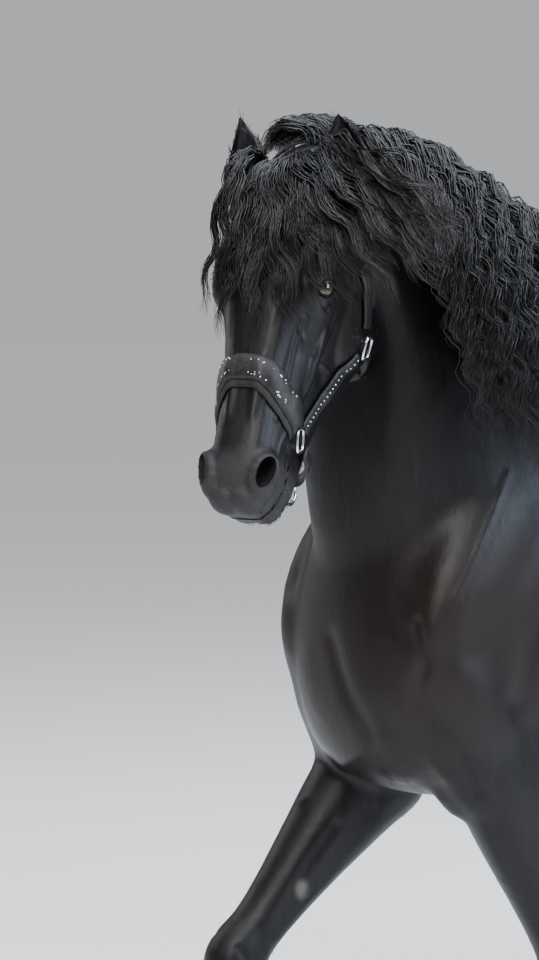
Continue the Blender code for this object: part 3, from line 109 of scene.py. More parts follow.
# Joints of each leg in the side view, as (y, z), with the leg's distance from the middle at its top and hoof
LEGS = {
    "foreleg_right": dict(
        side=-1, joints=[(-0.235, 1.05), (-0.085, 0.835), (-0.385, 0.515), (-0.392, 0.190), (-0.470, 0.088)],
        spread=(0.150, 0.120), fore=True),
    "foreleg_left": dict(
        side=1, joints=[(-0.21, 1.03), (-0.025, 0.835), (0.120, 0.478), (0.222, 0.184), (0.142, 0.088)],
        spread=(0.150, 0.115), fore=True),
    "hindleg_left": dict(
        side=1, joints=[(1.06, 1.24), (0.810, 0.955), (1.030, 0.560), (0.935, 0.190), (0.855, 0.088)],
        spread=(0.150, 0.115), fore=False),
    "hindleg_right": dict(
        side=-1, joints=[(1.08, 1.24), (1.015, 0.870), (1.375, 0.560), (1.500, 0.195), (1.425, 0.088)],
        spread=(0.150, 0.125), fore=False),
}
# Stations of the trunk from the breast to the buttock: y, top, level of the widest point, bottom, half width,
# and how square the upper and the lower half are
TRUNK = [
    (-0.290, 1.150, 1.030, 0.940, 0.060, 2.0, 2.0),
    (-0.268, 1.240, 1.030, 0.870, 0.135, 2.0, 2.0),
    (-0.210, 1.360, 1.040, 0.822, 0.195, 2.0, 2.1),
    (-0.110, 1.480, 1.060, 0.792, 0.228, 1.9, 2.2),
    (0.030, 1.555, 1.080, 0.785, 0.243, 1.8, 2.2),
    (0.180, 1.605, 1.100, 0.788, 0.257, 1.6, 2.2),
    (0.330, 1.585, 1.125, 0.795, 0.283, 1.7, 2.2),
    (0.500, 1.540, 1.150, 0.804, 0.308, 2.0, 2.2),
    (0.680, 1.532, 1.165, 0.826, 0.312, 2.2, 2.2),
    (0.850, 1.565, 1.200, 0.876, 0.288, 2.3, 2.1),
    (0.990, 1.598, 1.250, 0.940, 0.264, 2.2, 2.0),
    (1.120, 1.578, 1.270, 0.995, 0.242, 2.1, 2.0),
    (1.235, 1.510, 1.260, 1.035, 0.200, 2.0, 2.0),
    (1.310, 1.430, 1.250, 1.075, 0.132, 2.0, 2.0),
    (1.340, 1.360, 1.250, 1.120, 0.055, 2.0, 2.0),
]
# Stations of the neck: crest y and z, throat y and z, half width, squareness towards the crest and the throat
NECK = [
    (0.340, 1.550, -0.060, 0.950, 0.200, 1.8, 2.0),
    (0.215, 1.612, -0.205, 1.045, 0.202, 1.9, 2.0),
    (0.095, 1.695, -0.272, 1.150, 0.184, 2.0, 2.1),
    (-0.030, 1.775, -0.296, 1.255, 0.160, 2.1, 2.2),
    (-0.155, 1.838, -0.304, 1.360, 0.139, 2.2, 2.3),
    (-0.265, 1.878, -0.302, 1.450, 0.122, 2.3, 2.3),
    (-0.360, 1.885, -0.300, 1.530, 0.109, 2.3, 2.2),
    (-0.430, 1.866, -0.318, 1.595, 0.096, 2.2, 2.1),
    (-0.475, 1.834, -0.360, 1.655, 0.074, 2.0, 2.0),
]
# Sizes down each leg: bone, share of the bone, half depth in front, behind, half width
FORE_SIZES = [
    (0, 0.30, 0.080, 0.100, 0.065), (0, 0.75, 0.100, 0.115, 0.076), (1, 0.02, 0.098, 0.112, 0.077),
    (1, 0.15, 0.092, 0.100, 0.074), (1, 0.32, 0.081, 0.084, 0.066), (1, 0.52, 0.066, 0.067, 0.056),
    (1, 0.72, 0.053, 0.055, 0.047), (1, 0.86, 0.048, 0.050, 0.044), (1, 0.95, 0.054, 0.053, 0.049),
    (2, 0.03, 0.056, 0.058, 0.051), (2, 0.13, 0.050, 0.056, 0.047), (2, 0.24, 0.039, 0.046, 0.037),
    (2, 0.42, 0.034, 0.043, 0.030), (2, 0.62, 0.033, 0.043, 0.029), (2, 0.80, 0.035, 0.045, 0.031),
    (2, 0.93, 0.041, 0.050, 0.037), (3, 0.05, 0.042, 0.053, 0.039), (3, 0.25, 0.037, 0.047, 0.036),
    (3, 0.50, 0.034, 0.037, 0.035), (3, 0.78, 0.040, 0.037, 0.041), (3, 1.00, 0.049, 0.045, 0.049),
    (3, 1.15, 0.049, 0.045, 0.049),
]
HIND_SIZES = [
    (0, 0.15, 0.120, 0.130, 0.075), (0, 0.50, 0.150, 0.175, 0.092), (0, 0.85, 0.130, 0.200, 0.094),
    (1, 0.05, 0.108, 0.185, 0.090), (1, 0.20, 0.092, 0.140, 0.082), (1, 0.36, 0.076, 0.108, 0.069),
    (1, 0.52, 0.062, 0.084, 0.055), (1, 0.68, 0.050, 0.072, 0.043), (1, 0.84, 0.048, 0.076, 0.040),
    (1, 0.97, 0.055, 0.084, 0.046), (2, 0.06, 0.056, 0.076, 0.049), (2, 0.16, 0.048, 0.060, 0.044),
    (2, 0.28, 0.039, 0.047, 0.035), (2, 0.45, 0.036, 0.044, 0.031), (2, 0.65, 0.035, 0.044, 0.030),
    (2, 0.82, 0.037, 0.046, 0.032), (2, 0.94, 0.042, 0.051, 0.038), (3, 0.05, 0.043, 0.054, 0.040),
    (3, 0.25, 0.038, 0.048, 0.037), (3, 0.50, 0.035, 0.038, 0.035), (3, 0.78, 0.041, 0.038, 0.042),
    (3, 1.00, 0.050, 0.046, 0.050), (3, 1.15, 0.050, 0.046, 0.050),
]
# The head hangs from the poll. Stations down the face: z, front of the nose, then half width and depth of the
# edge of the nose, of the widest line, of the cheek and of the jaw, and the depth between the jaws
HEAD = [
    (0.024, 0.052, 0.012, 0.056, 0.022, 0.072, 0.022, 0.088, 0.012, 0.102, 0.106),
    (0.004, 0.018, 0.030, 0.024, 0.056, 0.060, 0.060, 0.100, 0.042, 0.140, 0.150),
    (-0.055, -0.002, 0.038, 0.006, 0.074, 0.050, 0.078, 0.110, 0.060, 0.178, 0.182),
    (-0.115, -0.012, 0.050, -0.004, 0.090, 0.040, 0.086, 0.122, 0.070, 0.222, 0.206),
    (-0.165, -0.016, 0.058, -0.006, 0.100, 0.038, 0.090, 0.130, 0.072, 0.254, 0.222),
    (-0.205, -0.016, 0.056, -0.005, 0.100, 0.050, 0.089, 0.132, 0.071, 0.270, 0.232),
    (-0.250, -0.012, 0.050, 0.000, 0.088, 0.060, 0.084, 0.130, 0.067, 0.268, 0.226),
    (-0.305, -0.006, 0.043, 0.005, 0.076, 0.066, 0.071, 0.120, 0.057, 0.242, 0.204),
    (-0.360, 0.000, 0.039, 0.010, 0.066, 0.064, 0.061, 0.110, 0.049, 0.206, 0.176),
    (-0.415, 0.003, 0.037, 0.012, 0.061, 0.058, 0.056, 0.100, 0.044, 0.178, 0.154),
    (-0.465, 0.003, 0.037, 0.012, 0.059, 0.054, 0.055, 0.096, 0.043, 0.162, 0.144),
    (-0.504, 0.005, 0.036, 0.013, 0.058, 0.052, 0.055, 0.094, 0.042, 0.152, 0.138),
    (-0.530, 0.012, 0.034, 0.021, 0.054, 0.054, 0.051, 0.092, 0.038, 0.144, 0.134),
    (-0.554, 0.026, 0.028, 0.033, 0.044, 0.058, 0.042, 0.090, 0.030, 0.128, 0.126),
    (-0.572, 0.050, 0.016, 0.053, 0.026, 0.066, 0.026, 0.084, 0.015, 0.102, 0.104),
]
# Rounded forms of the head, on both sides: middle, radii
HEAD_LUMPS = [
    ((0.066, 0.178, -0.192), (0.031, 0.084, 0.100)),
    ((0.068, 0.046, -0.200), (0.036, 0.050, 0.054)),
    ((0.064, 0.020, -0.170), (0.034, 0.026, 0.050)),
    ((0.062, 0.088, -0.062), (0.026, 0.050, 0.050)),
    ((0.040, 0.040, -0.512), (0.025, 0.034, 0.046)),
    ((0.016, 0.050, -0.547), (0.034, 0.034, 0.030)),
    ((0.030, 0.066, -0.532), (0.026, 0.026, 0.038)),
    ((0.014, 0.114, -0.543), (0.032, 0.024, 0.028)),
    ((0.008, 0.130, -0.526), (0.033, 0.025, 0.032)),
]
# Long forms of the head, on both sides: from, to, radius
HEAD_RIDGES = [
    ((0.084, 0.078, -0.235), (0.060, 0.084, -0.370), 0.013),
    ((0.024, 0.006, -0.240), (0.018, 0.014, -0.480), 0.012),
    ((0.090, 0.062, -0.205), (0.078, 0.104, -0.110), 0.014),
    ((0.050, 0.094, -0.464), (0.036, 0.070, -0.556), 0.010),
]
# The eye: middle, where it looks, radii of the ball and of the lids round it
EYE = Vector((0.0785, 0.046, -0.203))
EYE_GAZE = Vector((0.84, -0.48, -0.20)).normalized()
EYE_BALL = 0.0235
EYE_LIDS = 0.0285
# The nostril: middle of its opening, where it faces, half length and half width
NOSTRIL = Vector((0.055, 0.018, -0.516))
NOSTRIL_FACES = Vector((0.64, -0.74, -0.20)).normalized()
NOSTRIL_SIZE = (0.0215, 0.0135)
# The line of the mouth in the side view of the head, as (y, z), from the corner to the front
MOUTH = [(0.093, -0.480), (0.096, -0.506), (0.092, -0.532), (0.086, -0.560), (0.084, -0.612)]
# The ear: place of its base, the way each points from the head's left side out, the way it opens, and length
EAR_BASE = Vector((0.080, 0.061, -0.028))
EAR_POINTS = {1: Vector((0.06, -0.26, 1.0)).normalized(), -1: Vector((0.26, -0.26, 1.0)).normalized()}
EAR_OPENS = Vector((0.50, -0.86, 0.0)).normalized()
EAR_LENGTH = 0.116
# The photograph's view: focal length in its pixels, heading and tilt of the camera, its place from the eyes
FOCAL = 2600
HEADING = math.radians(60)
TILT = math.radians(4.57)
FROM_EYES = Vector((3.450, -2.000, 0.024))
# Rows of mane, forelock and feathering: locks, place of the root and lift, or height and length
MANE_ROWS = [(44, 0.031, 0.006), (44, 0.023, 0.015), (44, 0.014, 0.027), (40, 0.006, 0.040),
             (40, -0.003, 0.054)]
FORELOCK_TIERS = [(19, 0.006, 0.004), (18, 0.014, 0.008), (16, 0.022, 0.012)]
# The mane starts behind the clipped place for the crown strap, and lies closer past this breadth
MANE_CLIPPED = 0.045
MANE_BREADTH = 0.372
FEATHER_ROWS = [(0.004, 26, 0.125), (0.030, 22, 0.150), (0.075, 12, 0.165), (0.125, 9, 0.190)]
MANE_PARTS, TAIL_PARTS = 4, 2
ROLL_LOCKS, TAIL_LOCKS = 26, 34
ROLL_BEGIN = ROLL_FROM + 0.035
# Long hair: steps along a strand, a lock's half width and depth, and shares of the strand's width and of the
# ripple's height and length, with how loose it is; gather draws a lock's tips together
LONG_HAIR = {
    "mane": dict(spans=34, wide=0.0135, deep=0.012, thick=1.6, crimp=1.0, wave=1.0, loose=1.0),
    "roll": dict(spans=10, wide=0.024, deep=0.018, thick=1.3, crimp=0.5, wave=1.0, loose=1.0),
    "forelock": dict(spans=18, wide=0.0125, deep=0.009, thick=1.15, crimp=0.7, wave=1.25, loose=1.0),
    "tail": dict(spans=18, wide=0.034, deep=0.022, thick=1.15, crimp=1.1, wave=1.3, loose=0.8),
    "feather": dict(spans=8, wide=0.018, deep=0.012, thick=1.0, crimp=0.5, wave=1.0, loose=0.7, gather=0.2),
}
ROLL_STRANDS, FORELOCK_STRANDS, FEATHER_STRANDS = 36, 24, 11
# Strength of the light from all round, and of the backdrop as it is seen
WORLD_LIGHT, BACKDROP_LIGHT = 0.17, 0.62
# Side of a strand's patch on the unwrap
STRAND_PATCH = 0.003
# How wide a lock is at its root, as a share of its middle
ROOT_SHARE = 0.8
# Voxels that the forms of the body and of the head are fused with
BODY_VOXEL, HEAD_VOXEL = 0.011, 0.0027
# How far the padding of the boots stands off the leg
BOOT_THICKNESS = 0.0095
# How far straps, stones and rings lie off the head, and from how far off straps and stones are drawn down
STRAP_LIFT = 0.0026
STRAP_PULL = 0.02
STONE_PULL = 0.03
RING_LIFT = 0.0075
# Stones tried on the noseband, and the steps each way from its middle that stay bare
NOSEBAND_STONES = 120
PLAIN_HALF = 4
# Lights: place and aim from the horse's middle, size, watts and colour
LIGHTS = {
    "key": ((3.6, -3.4, 3.6), (0, -0.6, 0.3), (3.0, 3.0), 300, (1.0, 0.98, 0.95)),
    "sky": ((0.6, 0.2, 4.2), (0, 0, 0), (5.0, 5.0), 460, (0.84, 0.91, 1.0)),
    "side": ((-3.8, -2.4, 2.0), (0, -0.5, 0.2), (2.5, 3.5), 60, (1.0, 1.0, 1.0)),
    "sheen": ((3.6, 1.7, 1.9), (0.3, -0.5, 0.1), (1.6, 2.2), 230, (0.72, 0.82, 1.0)),
    "back": ((-1.0, 4.2, 2.6), (0, 0, 0), (3.0, 3.0), 140, (0.90, 0.94, 1.0)),
}


def curved(a, b, c, d, t):
    """Where a smooth curve through four points stands at a share of the way from the second to the third."""
    return 0.5 * (2 * b + (c - a) * t + (2 * a - 5 * b + 4 * c - d) * t ** 2 + (3 * b - a - 3 * c + d) * t ** 3)


def smooth_rows(table, steps):
    """Rows read from a smooth curve through the stations of a table."""
    rows = np.array(table, float)
    ends = np.vstack([2 * rows[0] - rows[1], rows, 2 * rows[-1] - rows[-2]])
    out = []
    for i in range(len(rows) - 1):
        a, b, c, d = ends[i:i + 4]
        for t in np.arange(steps) / steps:
            out.append(curved(a, b, c, d, t))
    out.append(rows[-1])
    return np.array(out)


def ring(centre, across, up, half_width, above, below, square_above=2.0, square_below=2.0, sides=28):
    """A closed section: a superellipse whose upper and lower halves have their own reach and squareness."""
    points = []
    for k in range(sides):
        angle = 2 * math.pi * k / sides
        c, s = math.cos(angle), math.sin(angle)
        square = square_above if s > 0 else square_below
        x = half_width * math.copysign(abs(c) ** (2 / square), c)
        y = (above if s > 0 else below) * math.copysign(abs(s) ** (2 / square), s)
        points.append(Vector(centre) + Vector(across) * x + Vector(up) * y)
    return points


def loft(bm, rings):
    """A closed tube through rings of equal count, with a flat face at each end."""
    loops = [[bm.verts.new(p) for p in points] for points in rings]
    count = len(loops[0])
    faces = [bm.faces.new(list(reversed(loops[0]))), bm.faces.new(loops[-1])]
    for a, b in zip(loops, loops[1:]):
        faces += [bm.faces.new((a[k], a[(k + 1) % count], b[(k + 1) % count], b[k])) for k in range(count)]
    return faces


def ellipsoid(bm, matrix, radii, rings=14):
    """A stretched ball."""
    scale = Matrix.Diagonal((*radii, 1))
    bmesh.ops.create_uvsphere(bm, u_segments=2 * rings, v_segments=rings, radius=1, matrix=matrix @ scale)


def muscle(bm, start, end, width, thickness):
    """A ball stretched from start to end: width is in the side view, thickness across the body."""
    start, end = Vector(start), Vector(end)
    along = (end - start).normalized()
    across = (Vector((1, 0, 0)) - along * along.x).normalized()
    side = along.cross(across)
    turn = Matrix((across, side, along)).transposed().to_4x4()
    ellipsoid(bm, Matrix.Translation((start + end) / 2) @ turn, (thickness, width, (end - start).length / 2))


def neck_course():
    """The turn of the neck to the horse's left in plan: the middle line and its heading against distance."""
    reach = BEND_START_Y - POLL.y
    steps = np.linspace(0, 1, 200)
    heading = TURN * (0.35 * steps + 0.65 * steps ** 2)
    step = reach / 199
    x = np.concatenate([[0], np.cumsum(np.sin(heading[:-1]) * step)])
    y = BEND_START_Y - np.concatenate([[0], np.cumsum(np.cos(heading[:-1]) * step)])
    return steps * reach, x, y, heading


COURSE = neck_course()


def turned(point):
    """A point of the straight horse, moved to where the bent neck carries it."""
    away = BEND_START_Y - point[1]
    if away <= 0:
        return Vector(point)
    distances, xs, ys, headings = COURSE
    heading = float(np.interp(away, distances, headings))
    x, y = float(np.interp(away, distances, xs)), float(np.interp(away, distances, ys))
    past = max(0.0, away - distances[-1])
    x, y = x + past * math.sin(heading), y - past * math.cos(heading)
    return Vector((x + point[0] * math.cos(heading), y + point[0] * math.sin(heading), point[2]))


def head_matrix():
    """Carries the hanging head to its place at the end of the turned neck."""
    place = turned(POLL)
    return (Matrix.Translation(place + HEAD_SHIFT) @ Matrix.Rotation(HEAD_TURN, 4, "Z")
            @ Matrix.Rotation(-HEAD_PITCH, 4, "X") @ Matrix.Scale(HEAD_SCALE, 4)
            @ Matrix.Translation((0, -0.055, 0)))


def trunk_form(bm):
    """The trunk from the breast to the buttock."""
    rings = []
    for y, top, mid, bottom, half, above, below in smooth_rows(TRUNK, 3):
        rings.append(ring((0, y, mid), (1, 0, 0), (0, 0, 1), half, top - mid, mid - bottom, above, below))
    loft(bm, rings)


def neck_rings():
    """The sections of the neck, carried round its bend."""
    rings = []
    for cy, cz, ty, tz, half, above, below in smooth_rows(NECK, 4):
        crest, throat = Vector((0, cy, cz)), Vector((0, ty, tz))
        centre, reach = (crest + throat) / 2, (crest - throat).length / 2
        up = (crest - throat).normalized()
        section = ring(centre, (1, 0, 0), up, half, reach, reach, above, below)
        rings.append([turned(p) for p in section])
    return rings


def leg_points(leg):
    """Ring centres down a leg, with the half sizes there."""
    sizes = FORE_SIZES if leg["fore"] else HIND_SIZES
    joints = [Vector((0, y, z)) for y, z in leg["joints"]]
    top, hoof = leg["spread"]
    rows = []
    for bone, share, front, back, half in sizes:
        p = joints[bone].lerp(joints[bone + 1], share)
        down = min(1.0, max(0.0, (joints[1].z - p.z) / (joints[1].z - joints[-1].z)))
        rows.append((leg["side"] * (top + (hoof - top) * down), p.y, p.z, front, back, half))
    return rows


def leg_form(bm, leg):
    """A leg from the elbow or stifle to the pastern, with the point of the hock behind."""
    rows = smooth_rows(leg_points(leg), 3)
    centres = rows[:, :3]
    rings = []
    for k, row in enumerate(rows):
        a, b = centres[max(k - 1, 0)], centres[min(k + 1, len(rows) - 1)]
        along = Vector(b - a).normalized()
        front = along.cross(Vector((1, 0, 0))).normalized()
        if front.y > 0:
            front = -front
        rings.append(ring(row[:3], (1, 0, 0), front, row[5], row[3], row[4], 2.2, 2.2, 20))
    loft(bm, rings)
    if not leg["fore"]:
        hock, fetlock = Vector((0, *leg["joints"][2])), Vector((0, *leg["joints"][3]))
        stifle = Vector((0, *leg["joints"][1]))
        x = rows[len(rows) // 2][0]
        up = (stifle - hock).normalized()
        back = (hock - fetlock).normalized().cross(Vector((1, 0, 0)))
        back = back if back.y > 0 else -back
        heel = hock + back * 0.062 + up * 0.045
        muscle(bm, (x, *(heel + up * 0.055)[1:]), (x, *(heel - up * 0.085)[1:]), 0.022, 0.024)


def muscles(bm):
    """The muscles of shoulder, forearm, haunch and thigh."""
    for leg in LEGS.values():
        s = leg["side"]
        j = [Vector((0, y, z)) for y, z in leg["joints"]]
        if leg["fore"]:
            point, elbow = j[0], j[1]
            muscle(bm, (s * 0.10, 0.22, 1.545), (s * 0.205, point.y - 0.01, point.z + 0.02), 0.120, 0.062)
            muscle(bm, (s * 0.165, 0.300, 1.330), (s * 0.175, elbow.y + 0.02, elbow.z - 0.01), 0.105, 0.075)
            muscle(bm, (s * 0.170, 0.100, 1.400), (s * 0.185, elbow.y + 0.06, elbow.z + 0.03), 0.110, 0.070)
            muscle(bm, (s * 0.175, point.y - 0.01, point.z + 0.09), (s * 0.160, elbow.y, elbow.z - 0.02),
                   0.080, 0.072)
            muscle(bm, (s * 0.070, -0.215, 1.200), (s * 0.090, -0.190, 0.830), 0.080, 0.085)
            muscle(bm, (s * 0.100, -0.10, 0.960), (s * 0.135, elbow.y - 0.05, elbow.z - 0.07), 0.075, 0.055)
        else:
            stifle = j[1]
            muscle(bm, (s * 0.105, 0.700, 1.500), (s * 0.165, 1.270, 1.270), 0.175, 0.100)
            muscle(bm, (s * 0.200, 0.790, 1.450), (s * 0.200, 0.980, 1.310), 0.060, 0.048)
            muscle(bm, (s * 0.130, 1.220, 1.460), (s * 0.160, stifle.y + 0.14, stifle.z - 0.06), 0.140, 0.105)
            muscle(bm, (s * 0.100, 1.285, 1.370), (s * 0.130, stifle.y + 0.20, stifle.z - 0.08), 0.085, 0.085)
            muscle(bm, (s * 0.195, 0.900, 1.360), (s * 0.165, stifle.y - 0.02, stifle.z - 0.04), 0.120, 0.090)
            muscle(bm, (s * 0.160, stifle.y - 0.02, stifle.z + 0.08), (s * 0.155, stifle.y, stifle.z - 0.08),
                   0.07, 0.062)


def head_section(row):
    """One closed section of the head, a smooth curve through its named points."""
    z, front, nose_x, nose_y, side_x, side_y, cheek_x, cheek_y, jaw_x, jaw_y, between = row
    half = [(nose_x, nose_y), (side_x, side_y), (cheek_x, cheek_y), (jaw_x, jaw_y)]
    corners = [(0, front)] + half + [(0, between)] + [(-x, y) for x, y in reversed(half)]
    corners = np.array(corners)
    count, points = len(corners), []
    for i in range(count):
        a, b, c, d = (corners[(i + k) % count] for k in (-1, 0, 1, 2))
        for t in (0.0, 1 / 3, 2 / 3):
            x, y = curved(a, b, c, d, t)
            points.append(Vector((x, y, z)))
    return points


def sided(vector, side):
    """A point or direction of the head's left side, carried to the side asked for."""
    return Vector((vector[0] * side, vector[1], vector[2]))


def frame_along(axis, up):
    """A turn whose z lies along the axis and whose y lies near up."""
    across = up.cross(axis).normalized()
    return Matrix((across, axis.cross(across), axis)).transposed().to_4x4()


def head_forms(bm):
    """The head in its hanging frame."""
    loft(bm, [head_section(row) for row in smooth_rows(HEAD, 3)])
    for s in (-1, 1):
        for (x, y, z), radii in HEAD_LUMPS:
            ellipsoid(bm, Matrix.Translation((s * x, y, z)), radii)
        for a, b, radius in HEAD_RIDGES:
            muscle(bm, (s * a[0], *a[1:]), (s * b[0], *b[1:]), radius, radius)
        nostril_rim(bm, s)


def nostril_rim(bm, side):
    """The raised wing of the nostril, open at its lower inner end."""
    facing = frame_along(sided(NOSTRIL_FACES, side), Vector((0, 0.3, 1)))
    long, wide = NOSTRIL_SIZE
    for k in range(11):
        angle = math.radians(-60 + 30 * k)
        local = Vector((wide * 1.30 * math.cos(angle), long * 1.20 * math.sin(angle), -0.008))
        ellipsoid(bm, Matrix.Translation(sided(NOSTRIL, side) + facing @ local), (0.0085, 0.0085, 0.0095), 8)


def prism(bm, outline, x_from, x_to):
    """A closed body with an outline given in the side view, between two planes across the horse."""
    a = [bm.verts.new((x_from, y, z)) for y, z in outline]
    b = [bm.verts.new((x_to, y, z)) for y, z in outline]
    bm.faces.new(a)
    bm.faces.new(list(reversed(b)))
    for k in range(len(outline)):
        n = (k + 1) % len(outline)
        bm.faces.new((a[n], a[k], b[k], b[n]))


def made(name, build, *args):
    """An object whose mesh is what a building function leaves in it."""
    bm = bmesh.new()
    build(bm, *args)
    return object_of(name, bm)


def object_of(name, bm):
    """An object with the mesh that was built, its faces turned outwards."""
    bmesh.ops.recalc_face_normals(bm, faces=bm.faces)
    mesh = bpy.data.meshes.new(name)
    bm.to_mesh(mesh)
    bm.free()
    return placed(name, mesh)


def placed(name, data):
    """An object in the scene for a mesh, a light or a camera."""
    obj = bpy.data.objects.new(name, data)
    bpy.context.scene.collection.objects.link(obj)
    return obj


def carries(mesh, **numbers):
    """Numbers kept at each point of a mesh, for its finish to read."""
    for name, values in numbers.items():
        layer = mesh.attributes.new(name, "FLOAT", "POINT")
        layer.data.foreach_set("value", np.asarray(values, np.float32))


def joined(bm, a, b):
    """A band of faces between two closed rings."""
    for j in range(len(a)):
        n = (j + 1) % len(a)
        bm.faces.new((a[j], a[n], b[n], b[j]))


def applied(obj):
    """The object's mesh as its modifiers leave it."""
    graph = bpy.context.evaluated_depsgraph_get()
    mesh = bpy.data.meshes.new_from_object(obj.evaluated_get(graph))
    obj.modifiers.clear()
    obj.data = mesh
    return obj


def remeshed(obj, voxel, rounds, softness=None):
    """Overlapping forms made one even surface and smoothed."""
    step = obj.modifiers.new("fuse", "REMESH")
    step.mode = "VOXEL"
    step.voxel_size = voxel
    applied(obj)
    return smoothed(obj, rounds, softness)


def smoothed(obj, rounds, softness=None, factor=0.5):
    """Smoothing, by a share for each vertex where softness gives one for every place."""
    step = obj.modifiers.new("smooth", "SMOOTH")
    step.factor, step.iterations = factor, rounds
    if softness is not None:
        group = obj.vertex_groups.new(name="soft")
        shares = np.round(softness(places_of(obj)) * 20) / 20
        for share in np.unique(shares):
            if share > 0:
                group.add([int(k) for k in np.flatnonzero(shares == share)], float(share), "REPLACE")
        step.vertex_group = group.name
    applied(obj)
    obj.vertex_groups.clear()
    return obj


def places_of(obj):
    """The points of a mesh, as an array."""
    places = np.empty(len(obj.data.vertices) * 3, np.float32)
    obj.data.vertices.foreach_get("co", places)
    return places.reshape(-1, 3)


def normals_of(obj):
    """The way out at each point of a mesh."""
    normals = np.empty(len(obj.data.vertices) * 3, np.float32)
    obj.data.vertex_normals.foreach_get("vector", normals)
    return normals.reshape(-1, 3)


def moved(obj, places):
    """The mesh with its points put elsewhere."""
    obj.data.vertices.foreach_set("co", np.asarray(places, np.float32).ravel())
    obj.data.update()
    return obj


def cut(obj, cutter, operation="DIFFERENCE"):
    """One Boolean, applied, with the cutter then removed."""
    step = obj.modifiers.new("cut", "BOOLEAN")
    step.operation, step.solver, step.object = operation, "MANIFOLD", cutter
    applied(obj)
    bpy.data.objects.remove(cutter)
    return obj


def trunk_softness(places):
    """The trunk's muscles flow into each other; the joints of the legs keep their edges."""
    return 0.12 + 0.88 * np.clip((places[:, 2] - 0.78) / 0.16, 0, 1)


def stroke(places, line, width):
    """How near each place lies to a line of points: 1 on it, fading to 0 about two widths away."""
    best = np.full(len(places), 9.0)
    points = np.array([tuple(p) for p in line], float)
    for a, b in zip(points, points[1:]):
        along = b - a
        share = np.clip((places - a) @ along / max(along @ along, 1e-12), 0, 1)
        best = np.minimum(best, ((places - a - share[:, None] * along) ** 2).sum(1))
    return np.exp(-best / width ** 2)


def bowed(points, steps=6):
    """A smooth curve through a few points."""
    return [Vector(row) for row in smooth_rows([tuple(p) for p in points], steps)]


def nearest(tree, point):
    """The nearest place of the surface, the way out averaged round it, and how far off it is."""
    near, _, _, away = tree.find_nearest(point)
    out = Vector((0, 0, 0))
    for _, normal, _, _ in sorted(tree.find_nearest_range(near, NORMAL_REACH), key=lambda found: found[2]):
        out += normal
    return near, Vector([round(value, 5) for value in out.normalized()]), away


def kept_off(tree, point, lift, pull=0.0):
    """The point moved out to its distance from the surface, with the way out there."""
    near, normal, away = nearest(tree, point)
    if (point - near).dot(normal) < 0 or away < max(lift, pull):
        return near + normal * lift, normal
    return point, (point - near).normalized()


def laid(tree, root, start, length, spans, blown, stiff, lift, sink=0.016):
    """A guide for one lock: it leaves the root, bends to its weight and the wind and lies on the surface."""
    step = length / spans
    way = start.normalized()
    _, out, _ = nearest(tree, root)
    points, normals = [root - out * sink - way * 0.4 * sink], [out]
    place = root.copy()
    for k in range(spans):
        pull = (blown + Vector((0, 0, -1))).normalized()
        way = (way * stiff + pull * (1 - stiff)).normalized()
        target = place + way * step
        moved, out = kept_off(tree, target, lift * min(1.0, 0.5 + k / 2))
        way = (moved - place).normalized()
        place = place + way * step
        points.append(place.copy())
        normals.append(out.copy())
        stiff *= 0.97
    return points, normals


def crest_point(share):
    """A point of the crest, with its way along, up and to the left."""
    rows = smooth_rows(NECK, 8)[::-1]
    where = share * (len(rows) - 1)
    k = min(int(where), len(rows) - 2)
    here = Vector((0, *(rows[k][:2] + (rows[k + 1][:2] - rows[k][:2]) * (where - k))))
    ahead = turned(here + Vector((0, -0.01, 0)))
    place = turned(here)
    along = (turned(here + Vector((0, 0.01, 0))) - ahead).normalized()
    return place, along, along.cross(Vector((0, 0, 1))).normalized()


def mane_guide(tree, share, off, row, lift, length):
    """One lock of the mane: over the crest, down the left side and blown a little back."""
    place, along, left = crest_point(share)
    near, _, _, _ = tree.find_nearest(place + left * off + Vector((0, 0, 0.02)))
    start = Vector((0, 0, 0.15 + 0.40 * row)) + left * 0.9 + along * (0.05 + 0.25 * share)
    blown = Vector((0, 0.10 + 0.22 * share, 0)) + left * 0.10
    return laid(tree, near, start, length, 7, blown, 0.60, lift)


def tail_point(share):
    """A point of the line of the tail."""
    line = smooth_rows(TAIL_LINE, 6)
    at = share * (len(line) - 1)
    return Vector([float(np.interp(at, range(len(line)), line[:, c])) for c in range(3)])


def feather_guide(tree, leg, angle, high, length):
    """One lock of the feathering, down and out over heel and hoof."""
    joints = [Vector((0, y, z)) for y, z in leg["joints"]]
    fetlock = joints[3]
    above = (joints[2] - fetlock).normalized()
    x = leg["side"] * (leg["spread"][1] + 0.004)
    radial = Vector((math.sin(angle), math.cos(angle), 0))
    near, out, _ = nearest(tree, Vector((x, fetlock.y, fetlock.z)) + above * high + radial * 0.05)
    back = 0.5 + 0.5 * math.cos(angle)
    start = out * 0.75 + Vector((0, 0.20 * back, -0.7))
    reach = min(length * (0.78 + 0.22 * back), (near.z - 0.012) / 0.97)
    return laid(tree, near, start, reach, 4, Vector((0, 0.12 * back, 0)), 0.62, 0.007, 0.010)


